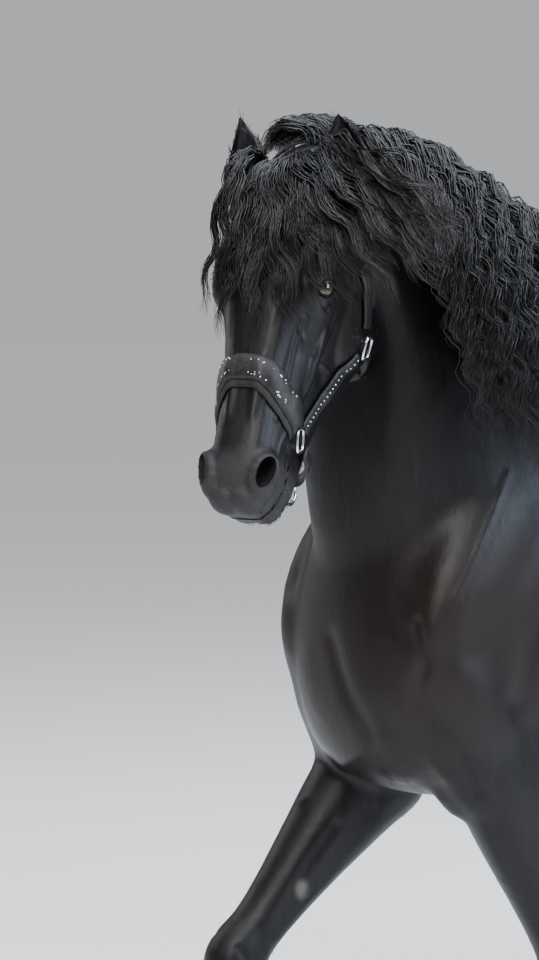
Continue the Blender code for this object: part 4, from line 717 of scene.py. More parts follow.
class Value:
    """One output of a shader node; sums, products and powers of it add their Math nodes."""

    def __init__(self, finish, link):
        self.finish, self.link = finish, link

    def maths(self, operation, *values):
        return self.finish.node("ShaderNodeMath", {"operation": operation}, dict(enumerate(values)))

    def __add__(self, other):
        return self.maths("ADD", self, other)

    def __sub__(self, other):
        return self.maths("SUBTRACT", self, other)

    def __rsub__(self, other):
        return self.maths("SUBTRACT", other, self)

    def __mul__(self, other):
        return self.maths("MULTIPLY", self, other)

    def __truediv__(self, other):
        return self.maths("DIVIDE", self, other)

    def __rtruediv__(self, other):
        return self.maths("DIVIDE", other, self)

    def __pow__(self, other):
        return self.maths("POWER", self, other)

    __radd__, __rmul__ = __add__, __mul__

    def within(self, low, high):
        """Runs from 0 at low to 1 at high and stays between them."""
        return self.finish.node("ShaderNodeMapRange", {"clamp": True},
                                {"Value": self, "From Min": low, "From Max": high})


class Finish:
    """A material in the making, with one way to add any node."""

    def __init__(self, name, **constants):
        self.material = bpy.data.materials.new(name)
        self.material.use_nodes = True
        self.tree = self.material.node_tree
        self.shader = self.tree.nodes["Principled BSDF"]
        for socket, value in constants.items():
            self.shader.inputs[socket.replace("_", " ")].default_value = value

    def node(self, kind, settings=None, inputs=None, output=0):
        """Adds a node, sets it up, gives its sockets values or links and returns one of its outputs."""
        node = self.tree.nodes.new(kind)
        for key, value in (settings or {}).items():
            setattr(node, key, value)
        for key, value in (inputs or {}).items():
            if isinstance(value, Value):
                self.tree.links.new(value.link, node.inputs[key])
            else:
                node.inputs[key].default_value = value
        return Value(self, node.outputs[output])

    def place(self, stretch=(1, 1, 1)):
        """Where a point is on the object, in metres, stretched for grain that runs one way."""
        at = self.node("ShaderNodeTexCoord", output="Object")
        return self.node("ShaderNodeMapping", {}, {"Vector": at, "Scale": stretch})

    def noise(self, scale, detail=3.0, roughness=0.55, stretch=(1, 1, 1)):
        """Soft uneven patches, scale to a metre."""
        return self.node("ShaderNodeTexNoise", {}, {"Vector": self.place(stretch), "Scale": scale,
                                                    "Detail": detail, "Roughness": roughness})

    def cells(self, scale, stretch=(1, 1, 1)):
        """Small rounded cells, scale to a metre."""
        return self.node("ShaderNodeTexVoronoi", {"feature": "F1"},
                         {"Vector": self.place(stretch), "Scale": scale}, "Distance")

    def mask(self, name):
        """A number that the mesh carries at each point."""
        return self.node("ShaderNodeAttribute", {"attribute_name": name}, output="Fac")

    def mix(self, share, first, second):
        """The first colour turning into the second."""
        colours = [c if isinstance(c, Value) else (*c, 1) for c in (first, second)]
        return self.node("ShaderNodeMix", {"data_type": "RGBA"}, {0: share, 6: colours[0], 7: colours[1]}, 2)

    def bumped(self, *layers):
        """Bumps laid one on another: height, distance in metres and strength of each."""
        normal = None
        for height, distance, strength in layers:
            inputs = {"Height": height, "Distance": distance, "Strength": strength}
            if normal:
                inputs["Normal"] = normal
            normal = self.node("ShaderNodeBump", {}, inputs)
        return normal

    def done(self, **links):
        """Links what varies to the shader and returns the material."""
        for socket, value in links.items():
            self.tree.links.new(value.link, self.shader.inputs[socket.replace("_", " ")])
        return self.material


def offset():
    """From the forms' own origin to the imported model's."""
    low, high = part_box("eye_left")
    return Matrix.Translation((Vector(low) + Vector(high)) / 2 - head_matrix() @ EYE)


def camera_place():
    """Where the camera stands, and the ways to the right, up and forwards in its picture."""
    eyes = [(Vector(low) + Vector(high)) / 2 for low, high in (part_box("eye_left"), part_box("eye_right"))]
    ahead = Vector((-math.sin(HEADING) * math.cos(TILT), math.cos(HEADING) * math.cos(TILT), -math.sin(TILT)))
    right = ahead.cross(Vector((0, 0, 1))).normalized()
    return (eyes[0] + eyes[1]) / 2 + FROM_EYES, right, right.cross(ahead), ahead


def on_surface(tree, pixel):
    """The place and the way out where the line of sight through a pixel meets a surface, or comes nearest."""
    eye, right, up, ahead = camera_place()
    sight = ahead * FOCAL + right * (pixel[0] - PHOTO_WIDTH / 2) + up * (PHOTO_HEIGHT / 2 - pixel[1])
    place, out, _, _ = tree.ray_cast(eye, sight.normalized())
    if place is None:
        place, out, _, _ = tree.find_nearest(eye + sight.normalized() * FROM_EYES.length)
    return place, out


def tree_of(*objects):
    """A search tree over the surfaces of these objects."""
    corners, faces = [], []
    for obj in objects:
        start = len(corners)
        corners += [v.co.copy() for v in obj.data.vertices]
        faces += [[start + k for k in face.vertices] for face in obj.data.polygons]
    return BVHTree.FromPolygons(corners, faces)


def dock_form(bm):
    """The root of the tail."""
    rings = []
    for share in np.linspace(0, 0.34, 8):
        along = (tail_point(share + 0.02) - tail_point(max(0.0, share - 0.02))).normalized()
        wide = 0.046 * (1 - 1.4 * share)
        back = along.cross(Vector((1, 0, 0)))
        rings.append(ring(tail_point(share), (1, 0, 0), back, wide, wide, wide, sides=16))
    loft(bm, rings)


def body_forms(bm):
    """All forms of the body, over one another."""
    trunk_form(bm)
    loft(bm, neck_rings())
    for leg in LEGS.values():
        leg_form(bm, leg)
    muscles(bm)
    dock_form(bm)


def ear_form(bm, side):
    """A cupped leaf: an outer and an inner sheet joined along the edge, rooted in the head."""
    up = sided(EAR_POINTS[side], side)
    opens = sided(EAR_OPENS, side)
    opens = (opens - up * opens.dot(up)).normalized()
    across = up.cross(opens) * side
    base = sided(EAR_BASE, side)
    spans, sides = 22, 19
    thickness = 0.0068
    grids = ([], [])
    for i in range(spans):
        t = i / (spans - 1)
        half = 0.027 + 0.016 * math.sin(math.pi * min(1, t * 1.25))
        half = half * (1 - max(0.0, (t - 0.35) / 0.65) ** 2.6) + 0.0025
        depth = 0.030 * (1 - t) ** 0.55 + 0.006
        cup = math.radians(158 - 70 * t)
        spine = base + up * (EAR_LENGTH * t) - opens * (depth * 0.8) + opens * (0.016 * t * t)
        spine = spine - across * (0.020 * t ** 3)
        rows = ([], [])
        for j in range(sides):
            angle = cup * (2 * j / (sides - 1) - 1)
            x, y = half * math.sin(angle), depth * (1 - math.cos(angle)) * 0.62
            out = spine + across * x + opens * y
            inward = (spine + opens * depth - out).normalized() * thickness * (0.75 if i == spans - 1 else 1)
            rows[0].append(bm.verts.new(out))
            rows[1].append(bm.verts.new(out + inward))
        for grid, row in zip(grids, rows):
            grid.append(row)
    outer, inner = grids
    for i in range(spans - 1):
        for j in range(sides - 1):
            bm.faces.new((outer[i][j], outer[i][j + 1], outer[i + 1][j + 1], outer[i + 1][j]))
            bm.faces.new((inner[i][j], inner[i + 1][j], inner[i + 1][j + 1], inner[i][j + 1]))
        for j in (0, sides - 1):
            bm.faces.new((outer[i][j], outer[i + 1][j], inner[i + 1][j], inner[i][j]))
    for i in (0, spans - 1):
        for j in range(sides - 1):
            bm.faces.new((outer[i][j], outer[i][j + 1], inner[i][j + 1], inner[i][j]))


def eye_opening(bm, side):
    """The almond opening between the lids, as a prism along the gaze."""
    gaze = sided(EYE_GAZE, side)
    corner = Vector((0.0, -0.75, -0.55))
    across = (corner - gaze * corner.dot(gaze)).normalized()
    up = gaze.cross(across) * -side
    rings = []
    for reach in (0.004, 0.060):
        points = []
        for k in range(28):
            angle = 2 * math.pi * k / 28
            x = 0.0215 * math.cos(angle)
            y = 0.0135 * math.copysign(abs(math.sin(angle)) ** 1.25, math.sin(angle))
            points.append(sided(EYE, side) + gaze * reach + across * x + up * y)
        rings.append(points)
    loft(bm, rings)


def nostril_hollow(bm, side):
    """The hollow of the nostril: a comma that runs in and up."""
    facing = sided(NOSTRIL_FACES, side)
    turn = frame_along(facing, Vector((0, 0.3, 1)))
    long, wide = NOSTRIL_SIZE
    middle = sided(NOSTRIL, side) + facing * 0.004 + turn @ Vector((0, 0.002, -0.012))
    ellipsoid(bm, Matrix.Translation(middle) @ turn, (wide * 0.94, long * 1.16, 0.040), 24)


def mouth_slot(bm):
    """The line of the mouth, a thin curved slot through both lips."""
    rows = smooth_rows(MOUTH, 5)
    outline = [(y - 0.0016, z) for y, z in rows] + [(y + 0.0016, z) for y, z in rows[::-1]]
    prism(bm, outline, -0.15, 0.15)


def head_and_ears(bm):
    """The forms of the head with both ears."""
    head_forms(bm)
    for side in (-1, 1):
        ear_form(bm, side)


def head_skin():
    """The head with its ears, lids, nostrils and mouth, in its hanging frame."""
    head = remeshed(made("skin_head", head_and_ears), HEAD_VOXEL, 10,
                    lambda at: np.where(at[:, 2] > 0.035, 0.35, 1.0))
    for side in (-1, 1):
        place = Matrix.Translation(sided(EYE, side))
        cut(head, made("lids", ellipsoid, place, (EYE_LIDS,) * 3, 24), "UNION")
    smoothed(head, 10, lambda at: np.exp(-(near_points(at, [sided(EYE, s) for s in (-1, 1)]) / 0.040) ** 4))
    cut(head, made("mouth", mouth_slot))
    for side in (-1, 1):
        place = Matrix.Translation(sided(EYE, side))
        cut(head, made("nostril", nostril_hollow, side))
        cut(head, made("opening", eye_opening, side))
        cut(head, made("ball", ellipsoid, place, (EYE_BALL + 0.0005,) * 3, 20))
    eyes, nostrils, lips = ([sided(p, s) for s in (-1, 1)] for p in (EYE, NOSTRIL, (0.03, 0.09, -0.55)))
    smoothed(head, 3, lambda at: np.exp(-(near_points(at, eyes + nostrils + lips) / 0.045) ** 6))
    return smoothed(head, 7, lambda at: np.exp(-(near_points(at, nostrils) / 0.030) ** 6))


def near_points(places, points):
    """The distance from each place to the nearest of a few points."""
    return np.min([np.linalg.norm(places - np.array(tuple(p)), axis=1) for p in points], axis=0)


def whole_skin():
    """One closed surface for the whole horse."""
    body = remeshed(made("skin", body_forms), BODY_VOXEL, 36, trunk_softness)
    step = body.modifiers.new("finer", "SUBSURF")
    step.levels = step.render_levels = 1
    applied(body)
    head = head_skin()
    head.data.transform(head_matrix())
    body_tree, head_tree = tree_of(body), tree_of(head)
    cut(body, head, "UNION")
    places = places_of(body)
    poll = np.array(tuple(head_matrix() @ Vector((0, 0.14, -0.10))))
    close = np.flatnonzero(np.linalg.norm(places - poll, axis=1) < 0.36)
    seam = np.zeros(len(places))
    for k in close:
        spot = Vector(places[k])
        far = max(body_tree.find_nearest(spot)[3], head_tree.find_nearest(spot)[3])
        seam[k] = max(0.0, 1 - far / 0.030)
    smoothed(body, 26, lambda at: seam)
    body.data.transform(offset())
    return body


def even_guides(guides, spans):
    """Guides of any count of points read at equal steps: places and ways out, as arrays."""
    places, outs = [], []
    for points, normals in guides:
        points = np.array([tuple(p) for p in points])
        normals = np.array([tuple(n) for n in normals])
        count = len(points)
        fine = np.linspace(0, count - 1, 6 * count)
        ends = np.vstack([2 * points[0] - points[1], points, 2 * points[-1] - points[-2]])
        k = np.minimum(fine.astype(int), count - 2)
        t = (fine - k)[:, None]
        curve = curved(ends[k], ends[k + 1], ends[k + 2], ends[k + 3], t)
        reach = np.concatenate([[0], np.cumsum(np.linalg.norm(np.diff(curve, axis=0), axis=1))])
        at = np.linspace(0, reach[-1], spans + 1)
        places.append(np.column_stack([np.interp(at, reach, curve[:, c]) for c in range(3)]))
        steps = np.interp(at, reach, fine)
        outs.append(np.column_stack([np.interp(steps, range(count), normals[:, c]) for c in range(3)]))
    return np.array(places), np.array(outs)


def unit(vectors):
    """The vectors made one long."""
    return vectors / np.maximum(np.linalg.norm(vectors, axis=-1, keepdims=True), 1e-9)


def strands(name, guides, each, seed, spans, wide, deep, thick, crimp, wave, loose, gather=0.45):
    """Hair as fine three-sided tapering strands, so many to each lock along a guide."""
    look = bpy.context.scene.horse
    crimp, wave = look.crimp * crimp, look.crimp_length * wave
    rng = np.random.default_rng(seed)
    places, outs = even_guides(guides, spans)
    along = unit(np.gradient(places, axis=1))
    outs = unit(outs - along * (outs * along).sum(-1, keepdims=True))
    across = np.cross(along, outs)
    total = np.linalg.norm(np.diff(places, axis=1), axis=-1).sum(1)
    locks = len(guides)
    count = locks * each
    of = np.repeat(np.arange(locks), each)
    share = np.linspace(0, 1, spans + 1)[None, :]
    side = np.clip(rng.normal(0, 0.52, count), -1.25, 1.25)[:, None]
    up = rng.random(count)[:, None] ** 1.2
    length = 1 - 0.34 * rng.random(count)[:, None] ** 1.6
    reach = share * length
    at = reach * spans
    k = np.minimum(at.astype(int), spans - 1)
    t = (at - k)[..., None]

    def read(table):
        return table[of[:, None], k] * (1 - t) + table[of[:, None], k + 1] * t

    line, out, flat = read(places), unit(read(outs)), unit(read(across))
    shape = ROOT_SHARE + (1 - ROOT_SHARE) * np.sin(np.pi * np.minimum(1, 1.3 * reach)) - gather * reach ** 1.8
    metres = reach * total[of][:, None]
    phase = rng.uniform(0, 2 * np.pi, locks)[of][:, None] + rng.normal(0, 0.28, count)[:, None]
    pitch = wave * (1 + rng.normal(0, 0.06, locks)[of][:, None])
    ripple = crimp * np.minimum(1, 5 * reach) * (0.8 + 0.5 * rng.random(count)[:, None])
    stray = loose * 0.008 * reach ** 1.5 * np.clip(rng.normal(0, 1, count), -1.8, 1.8)[:, None]
    lift = loose * 0.006 * reach * rng.normal(0, 0.8, count)[:, None]
    sway = side * wide * shape + ripple * np.sin(2 * np.pi * metres / pitch + phase) + stray
    raised = up * deep * shape + 0.7 * ripple * np.cos(2 * np.pi * metres / pitch + phase) + np.abs(lift)
    centre = line + flat * sway[..., None] + out * raised[..., None]
    past = centre[..., 0] - MANE_BREADTH
    centre[..., 0] -= 0.85 * np.maximum(past, 0)
    heading = unit(np.gradient(centre, axis=1))
    out = unit(out - heading * (out * heading).sum(-1, keepdims=True))
    flat = np.cross(heading, out)
    width = look.strand_width * thick
    thick = width * (0.75 + 0.5 * rng.random(count)[:, None]) * (1 - 0.90 * share ** 2.5) * 0.5
    return strand_mesh(name, centre, flat, out, thick, rng.random(count))


def strand_mesh(name, centre, flat, out, thick, tone):
    """A mesh of three-sided strands along rows of points, each closed at both ends."""
    count, rows = centre.shape[:2]
    corners = np.empty((count, rows, 3, 3))
    for c in range(3):
        angle = 2 * math.pi * c / 3 + math.pi / 2
        corners[:, :, c] = centre + (flat * math.cos(angle) + out * math.sin(angle)) * thick[..., None]
    corners = corners.reshape(-1, 3)
    first = (np.arange(count) * rows * 3)[:, None, None]
    ring_of = (np.arange(rows - 1) * 3)[None, :, None]
    c = np.arange(3)[None, None, :]
    n = (c + 1) % 3
    low = first + ring_of
    quads = np.stack([low + c, low + n, low + 3 + n, low + 3 + c], -1).reshape(-1, 4)
    start = first[:, 0, 0]
    ends = np.concatenate([np.stack([start, start + 2, start + 1], -1),
                           np.stack([start, start + 1, start + 2], -1) + (rows - 1) * 3])
    loops = np.concatenate([quads.ravel(), ends.ravel()])
    sizes = np.concatenate([np.full(len(quads), 4), np.full(len(ends), 3)])
    mesh = bpy.data.meshes.new(name)
    mesh.vertices.add(len(corners))
    mesh.vertices.foreach_set("co", corners.astype(np.float32).ravel())
    mesh.loops.add(len(loops))
    mesh.loops.foreach_set("vertex_index", loops.astype(np.int32))
    mesh.polygons.add(len(sizes))
    mesh.polygons.foreach_set("loop_start", np.concatenate([[0], np.cumsum(sizes)[:-1]]).astype(np.int32))
    mesh.polygons.foreach_set("loop_total", sizes.astype(np.int32))
    share = np.repeat(np.tile(np.linspace(0, 1, rows), count), 3)
    whose = np.repeat(np.arange(count), rows * 3)
    carries(mesh, tip=share, tone=tone[whose])
    patch = np.column_stack([np.tile((0.0, 0.5, 1.0), count * rows), share]) * STRAND_PATCH
    spots = round_unwrap(centre[:, 1])[whose] + patch
    uv = mesh.uv_layers.new(name="OFBake")
    uv.data.foreach_set("uv", spots[loops].astype(np.float32).ravel())
    mesh.update(calc_edges=True)
    mesh.validate()
    mesh.shade_smooth()
    return placed(name, mesh)


def round_unwrap(roots):
    """Roots on an unwrap of the skin: along its longest way, and round it."""
    middle = roots.mean(0)
    _, _, ways = np.linalg.svd(roots[:: max(1, len(roots) // 2000)] - middle, full_matrices=False)
    u = (roots - middle) @ ways[0]
    angle = np.arctan2((roots - middle) @ ways[2], (roots - middle) @ ways[1])
    u = (u - u.min()) / max(1e-6, u.max() - u.min())
    return np.column_stack([0.01 + 0.975 * u, 0.01 + 0.975 * (angle + math.pi) / (2 * math.pi)])


def carried(guides, by):
    """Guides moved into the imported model's frame."""
    return [([by @ p for p in points], normals) for points, normals in guides]


def own_tree():
    """The skin as a search tree in the forms' own frame."""
    if "tree" not in MADE:
        copy = bpy.data.objects["skin"].data.copy()
        copy.transform(offset().inverted())
        faces = [list(face.vertices) for face in copy.polygons]
        MADE["tree"] = BVHTree.FromPolygons([v.co for v in copy.vertices], faces)
        bpy.data.meshes.remove(copy)
    return MADE["tree"]


MADE = {}


def mane_guides(part):
    """The guides of a quarter of the mane."""
    tree, rng = own_tree(), random.Random(11 + part)
    guides, first = [], MANE_FROM + MANE_CLIPPED
    for row, (count, off, lift) in enumerate(MANE_ROWS):
        for k in range(part, count, MANE_PARTS):
            share = first + (MANE_TO - first) * (k + 0.5 + rng.uniform(-0.3, 0.3)) / count
            length = MANE_LENGTH + 0.14 * math.sin(math.pi * min(1.0, 0.15 + 0.8 * share))
            length = length * rng.uniform(0.72, 1.14)
            guides.append(mane_guide(tree, share, off, row / 2, lift + 0.006 * rng.random(), length))
    return guides


def roll_guides():
    """The guides of the roll that stands up behind the left ear and tips over."""
    tree, rng = own_tree(), random.Random(29)
    guides = []
    for k in range(ROLL_LOCKS):
        share = ROLL_BEGIN + (ROLL_TO - ROLL_FROM) * k / ROLL_LOCKS
        place, along, left = crest_point(share)
        near = tree.find_nearest(place + Vector((0, 0, 0.02)) + left * rng.uniform(-0.02, 0.02))[0]
        start = Vector((0, 0, 1.0)) - along * 0.10 - left * 0.15
        blown = Vector((0, -0.05, 0.05)) - left * 0.40
        length, stiff = rng.uniform(0.09, 0.13), rng.uniform(0.62, 0.70)
        guides.append(laid(tree, near, start, length, 6, blown, stiff, 0.018))
    return guides


def forelock_guides():
    """The guides of the forelock, from between the ears over the forehead and off to the left cheek."""
    tree, rng, place = own_tree(), random.Random(5), head_matrix()
    turn, guides = place.to_3x3(), []
    for tier, (count, back, lift) in enumerate(FORELOCK_TIERS):
        for k in range(count):
            side = 2 * (k + 0.5 + rng.uniform(-0.2, 0.2)) / count - 1
            length = (0.29 + 0.02 * tier + 0.06 * max(0.0, side)) * rng.uniform(0.84, 1.14)
            near = tree.find_nearest(place @ Vector((0.040 * side, back, 0.03)))[0]
            start = turn @ Vector((0.22 * side - 0.04, -1.0, 0.06 * tier))
            blown = turn @ Vector((0.85 * max(0.0, side + 0.50) + 0.16 * tier, 0.10, 0))
            guides.append(laid(tree, near, start, length, 6, blown, 0.58, lift + 0.004 * rng.random(), 0.012))
    return guides


def tail_guides(part):
    """Long hair from all round the dock, following the line of the tail."""
    rng, core = random.Random(23 + part), np.array(TAIL_CORE)
    guides = []
    for k in range(TAIL_LOCKS):
        begin = 0.10 + 0.22 * rng.random()
        end = 0.80 + 0.20 * rng.random()
        angle = 2 * math.pi * (k + 0.5 * part) / TAIL_LOCKS
        close = rng.uniform(0.45, 1.0)
        points, normals = [], []
        for n, share in enumerate(np.linspace(begin, end, 9)):
            wide, deep = (float(np.interp(min(share, 0.36), core[:, 0], core[:, c])) for c in (1, 2))
            full = close if n else 0.5 * close
            draw = 1.0 - 0.50 * max(0.0, (share - 0.40) / 0.60)
            radial = Vector((math.cos(angle) * wide, math.sin(angle) * deep, math.sin(angle) * 0.2 * deep))
            points.append(tail_point(share) + radial * full * draw)
            normals.append(radial.normalized())
        guides.append((points, normals))
    return guides


def feather_guides(leg, seed):
    """The guides of the feathering: all round the fetlock low down, and behind it further up."""
    tree, rng = own_tree(), random.Random(seed)
    guides = []
    for high, count, length in FEATHER_ROWS:
        sweep = 330 if high < 0.05 else 120
        for k in range(count):
            angle = math.radians(sweep * ((k + 0.5 + rng.uniform(-0.3, 0.3)) / count - 0.5))
            guides.append(feather_guide(tree, leg, angle, high, length * rng.uniform(0.85, 1.05)))
    return guides


def hair_finish(name, root, tip, gloss):
    """Long hair: painted shade darkens it towards the roots in the depth of the locks; it turns lighter and
    browner towards some of the tips.
    """
    hair = Finish(name, IOR=1.5, Specular_IOR_Level=0.42)
    tone, share = hair.mask("tone"), hair.mask("tip")
    patch = hair.noise(16, 3)
    fine = hair.noise(900, 2)
    # Painted shade: darker towards the root, deep in the lock; lighter and browner towards some tips
    light = (share * 0.8 + (tone - 0.5) * 0.6 + (patch - 0.5) * 1.2).within(0.35, 1.15)
    colour = hair.mix(light, root, tip)
    rough = gloss + (tone - 0.5) * 0.16 + (fine - 0.5) * 0.1
    return hair.done(Base_Color=colour, Roughness=rough, Normal=hair.bumped((fine, 0.0003, 0.4)))


# Grooves and raised lines drawn on the photograph's view: pixels, width and height in metres
DRAWN = [
    ([(416, 624), (424, 660), (418, 688), (432, 716), (460, 758), (477, 795)], 0.011, -0.0060),
    ([(398, 640), (404, 676), (402, 706), (420, 742), (446, 776)], 0.020, 0.0040),
    ([(510, 470), (492, 515), (474, 560), (455, 600)], 0.005, 0.0022),
    ([(306, 352), (322, 372), (318, 408), (300, 436)], 0.012, -0.0022),
    ([(304, 318), (296, 350), (288, 384), (276, 420)], 0.004, 0.0016),
    ([(300, 330), (312, 352), (330, 372)], 0.003, 0.0014),
    ([(262, 512), (274, 516), (288, 514)], 0.0035, -0.0016),
    ([(266, 505), (278, 508), (290, 506)], 0.0035, -0.0013),
    ([(282, 470), (288, 486), (290, 500)], 0.004, -0.0014),
    ([(330, 640), (345, 690), (372, 742), (402, 792)], 0.018, -0.0040),
    ([(232, 900), (262, 846), (300, 800)], 0.012, 0.0030),
    ([(276, 932), (300, 880), (336, 826)], 0.011, -0.0030),
]
# The same in the model's own space, on both sides: points, width and height
SHAPED = [
    ([(0.26, 0.07, 1.40), (0.27, 0.03, 1.25), (0.24, -0.05, 1.10), (0.21, -0.08, 0.98)], 0.024, -0.0060),
    ([(0.25, 0.16, 1.46), (0.28, 0.14, 1.30), (0.28, 0.12, 1.12), (0.24, 0.10, 0.96)], 0.026, -0.0055),
    ([(0.29, 0.36, 1.02), (0.31, 0.52, 0.98), (0.31, 0.68, 1.00), (0.28, 0.80, 1.06)], 0.007, 0.0030),
    ([(0.30, 0.74, 1.42), (0.32, 0.80, 1.30), (0.30, 0.84, 1.16), (0.26, 0.82, 1.04)], 0.026, -0.0055),
    ([(0.22, 1.06, 1.46), (0.25, 1.12, 1.30), (0.24, 1.16, 1.12), (0.21, 1.20, 0.98)], 0.022, -0.0060),
    ([(0.20, 1.24, 1.30), (0.20, 1.26, 1.14), (0.18, 1.26, 1.02)], 0.016, -0.0045),
    ([(0.33, 0.40, 1.30), (0.33, 0.42, 1.14), (0.30, 0.44, 1.00)], 0.014, 0.0012),
    ([(0.33, 0.48, 1.31), (0.33, 0.50, 1.15), (0.30, 0.52, 1.00)], 0.014, 0.0012),
    ([(0.33, 0.56, 1.31), (0.33, 0.58, 1.15), (0.30, 0.60, 1.01)], 0.014, 0.0012),
]
# Lines of the head in its hanging frame, on both sides: points, width and height
FACIAL = [
    ([(0.080, 0.090, -0.225), (0.068, 0.088, -0.290), (0.060, 0.088, -0.370)], 0.007, 0.0022),
    ([(0.076, 0.110, -0.250), (0.064, 0.106, -0.320), (0.056, 0.102, -0.380)], 0.011, -0.0035),
    ([(0.070, 0.030, -0.250), (0.060, 0.034, -0.320), (0.052, 0.040, -0.400)], 0.014, -0.0030),
    ([(0.078, 0.022, -0.180), (0.086, 0.030, -0.165), (0.090, 0.050, -0.160), (0.088, 0.070, -0.168)],
     0.006, 0.0025),
    ([(0.074, 0.018, -0.195), (0.082, 0.026, -0.180), (0.088, 0.048, -0.174)], 0.003, -0.0018),
    ([(0.082, 0.022, -0.222), (0.088, 0.038, -0.232), (0.086, 0.060, -0.232)], 0.003, -0.0016),
    ([(0.088, 0.082, -0.120), (0.090, 0.090, -0.090), (0.086, 0.092, -0.062)], 0.012, -0.0040),
    ([(0.060, 0.060, -0.430), (0.058, 0.050, -0.462), (0.056, 0.046, -0.486)], 0.004, 0.0016),
    ([(0.058, 0.074, -0.420), (0.056, 0.078, -0.456), (0.054, 0.086, -0.490)], 0.006, -0.0020),
    ([(0.052, 0.050, -0.490), (0.050, 0.058, -0.512), (0.046, 0.066, -0.534)], 0.0035, -0.0018),
    ([(0.050, 0.104, -0.500), (0.046, 0.108, -0.520), (0.038, 0.112, -0.545)], 0.004, -0.0016),
    ([(0.084, 0.120, -0.180), (0.084, 0.175, -0.150), (0.076, 0.200, -0.110)], 0.012, 0.0020),
]


def sculpted(skin):
    """Muscle edges, creases and veins raised on the skin or pressed into it."""
    places, normals = places_of(skin).astype(float), normals_of(skin).astype(float)
    tree = tree_of(skin)
    shift, head = offset(), offset() @ head_matrix()
    height = np.zeros(len(places))
    for pixels, width, rise in DRAWN:
        line = [on_surface(tree, pixel)[0] for pixel in pixels]
        height += rise * stroke(places, bowed(line), width)
    for table, carry, bend in ((SHAPED, shift, True), (FACIAL, head, False)):
        for points, width, rise in table:
            for side in (-1, 1):
                line = [carry @ (turned(sided(p, side)) if bend else sided(p, side)) for p in points]
                line = [tree.find_nearest(p)[0] for p in line]
                height += rise * stroke(places, bowed(line), width)
    for leg in LEGS.values():
        for points, width, rise in tendons(leg):
            line = [tree.find_nearest(shift @ p)[0] for p in points]
            height += rise * stroke(places, bowed(line), width)
    return moved(skin, places + normals * (height - bpy.context.scene.horse.coat_depth)[:, None])


def tendons(leg):
    """The grooves beside the tendons and over the joints of a leg."""
    joints = [Vector((0, y, z)) for y, z in leg["joints"]]
    x = leg["side"] * leg["spread"][1]
    lines = []
    back = (joints[2] - joints[3]).normalized().cross(Vector((1, 0, 0)))
    back = back if back.y > 0 else -back
    for out in (-1, 1):
        flank = Vector((x + out * 0.040, 0, 0))
        cannon = [joints[2].lerp(joints[3], share) + flank + back * 0.012 for share in (0.2, 0.5, 0.8)]
        lines.append((cannon, 0.006, -0.0035))
        lines.append(([p + back * 0.020 for p in cannon], 0.006, 0.0015))
        beside = flank * 1.2 + back * 0.010
        forearm = [joints[1].lerp(joints[2], share) + beside for share in (0.25, 0.5, 0.8)]
        lines.append((forearm, 0.014, -0.0018))
        knee = [joints[2] + flank + back * (-0.02 + 0.02 * k) + Vector((0, 0, 0.035 - 0.03 * k))
                for k in range(3)]
        lines.append((knee, 0.007, -0.0025))
    return lines


def marked(skin):
    """Where the skin is muzzle, warm brown, bare, chestnut or leg, and where painted shade darkens the
    nostrils, as numbers at its points.
    """
    shift, head = offset(), offset() @ head_matrix()
    places = places_of(skin)
    hanging = np.array(head.inverted())
    local = places @ hanging[:3, :3].T + hanging[:3, 3]
    near_head = np.clip((0.30 - np.linalg.norm(local - np.array((0, 0.1, -0.48)), axis=1)) / 0.05, 0, 1)
    nostrils = near_points(local, [sided(NOSTRIL, s) for s in (-1, 1)])
    eyes = near_points(local, [sided(EYE, s) for s in (-1, 1)])
    muzzle = np.clip((-0.455 - local[:, 2]) / 0.060, 0, 1) * near_head
    tree = tree_of(skin)
    chestnut = np.array(tuple(on_surface(tree, (302, 889))[0]))
    away = (places - chestnut) / np.array((0.016, 0.012, 0.017))
    cheek, _ = tree.find_nearest(head @ Vector((0.085, 0.150, -0.21)))[:2]
    chest = shift @ Vector((0, -0.27, 1.02))
    shoulder = shift @ Vector((0.24, -0.08, 1.10))
    flank = shift @ Vector((0.30, 0.86, 1.10))
    warm = np.zeros(len(places))
    for spot, reach in ((cheek, 0.13), (chest, 0.26), (shoulder, 0.20), (flank, 0.24)):
        warm += np.exp(-(np.linalg.norm(places - np.array(tuple(spot)), axis=1) / reach) ** 2)
    legs = np.clip((0.62 - places[:, 2]) / 0.2, 0, 1)
    # The nostril mask marks where painted shade darkens the hollow and rim of each nostril
    carries(skin.data, muzzle=muzzle, nostril=np.exp(-(nostrils / 0.021) ** 6),
            lids=np.exp(-(eyes / EYE_LIDS) ** 14), warm=np.clip(warm, 0, 1),
            chestnut=np.exp(-(away ** 2).sum(1) ** 2), legs=legs)
    return skin


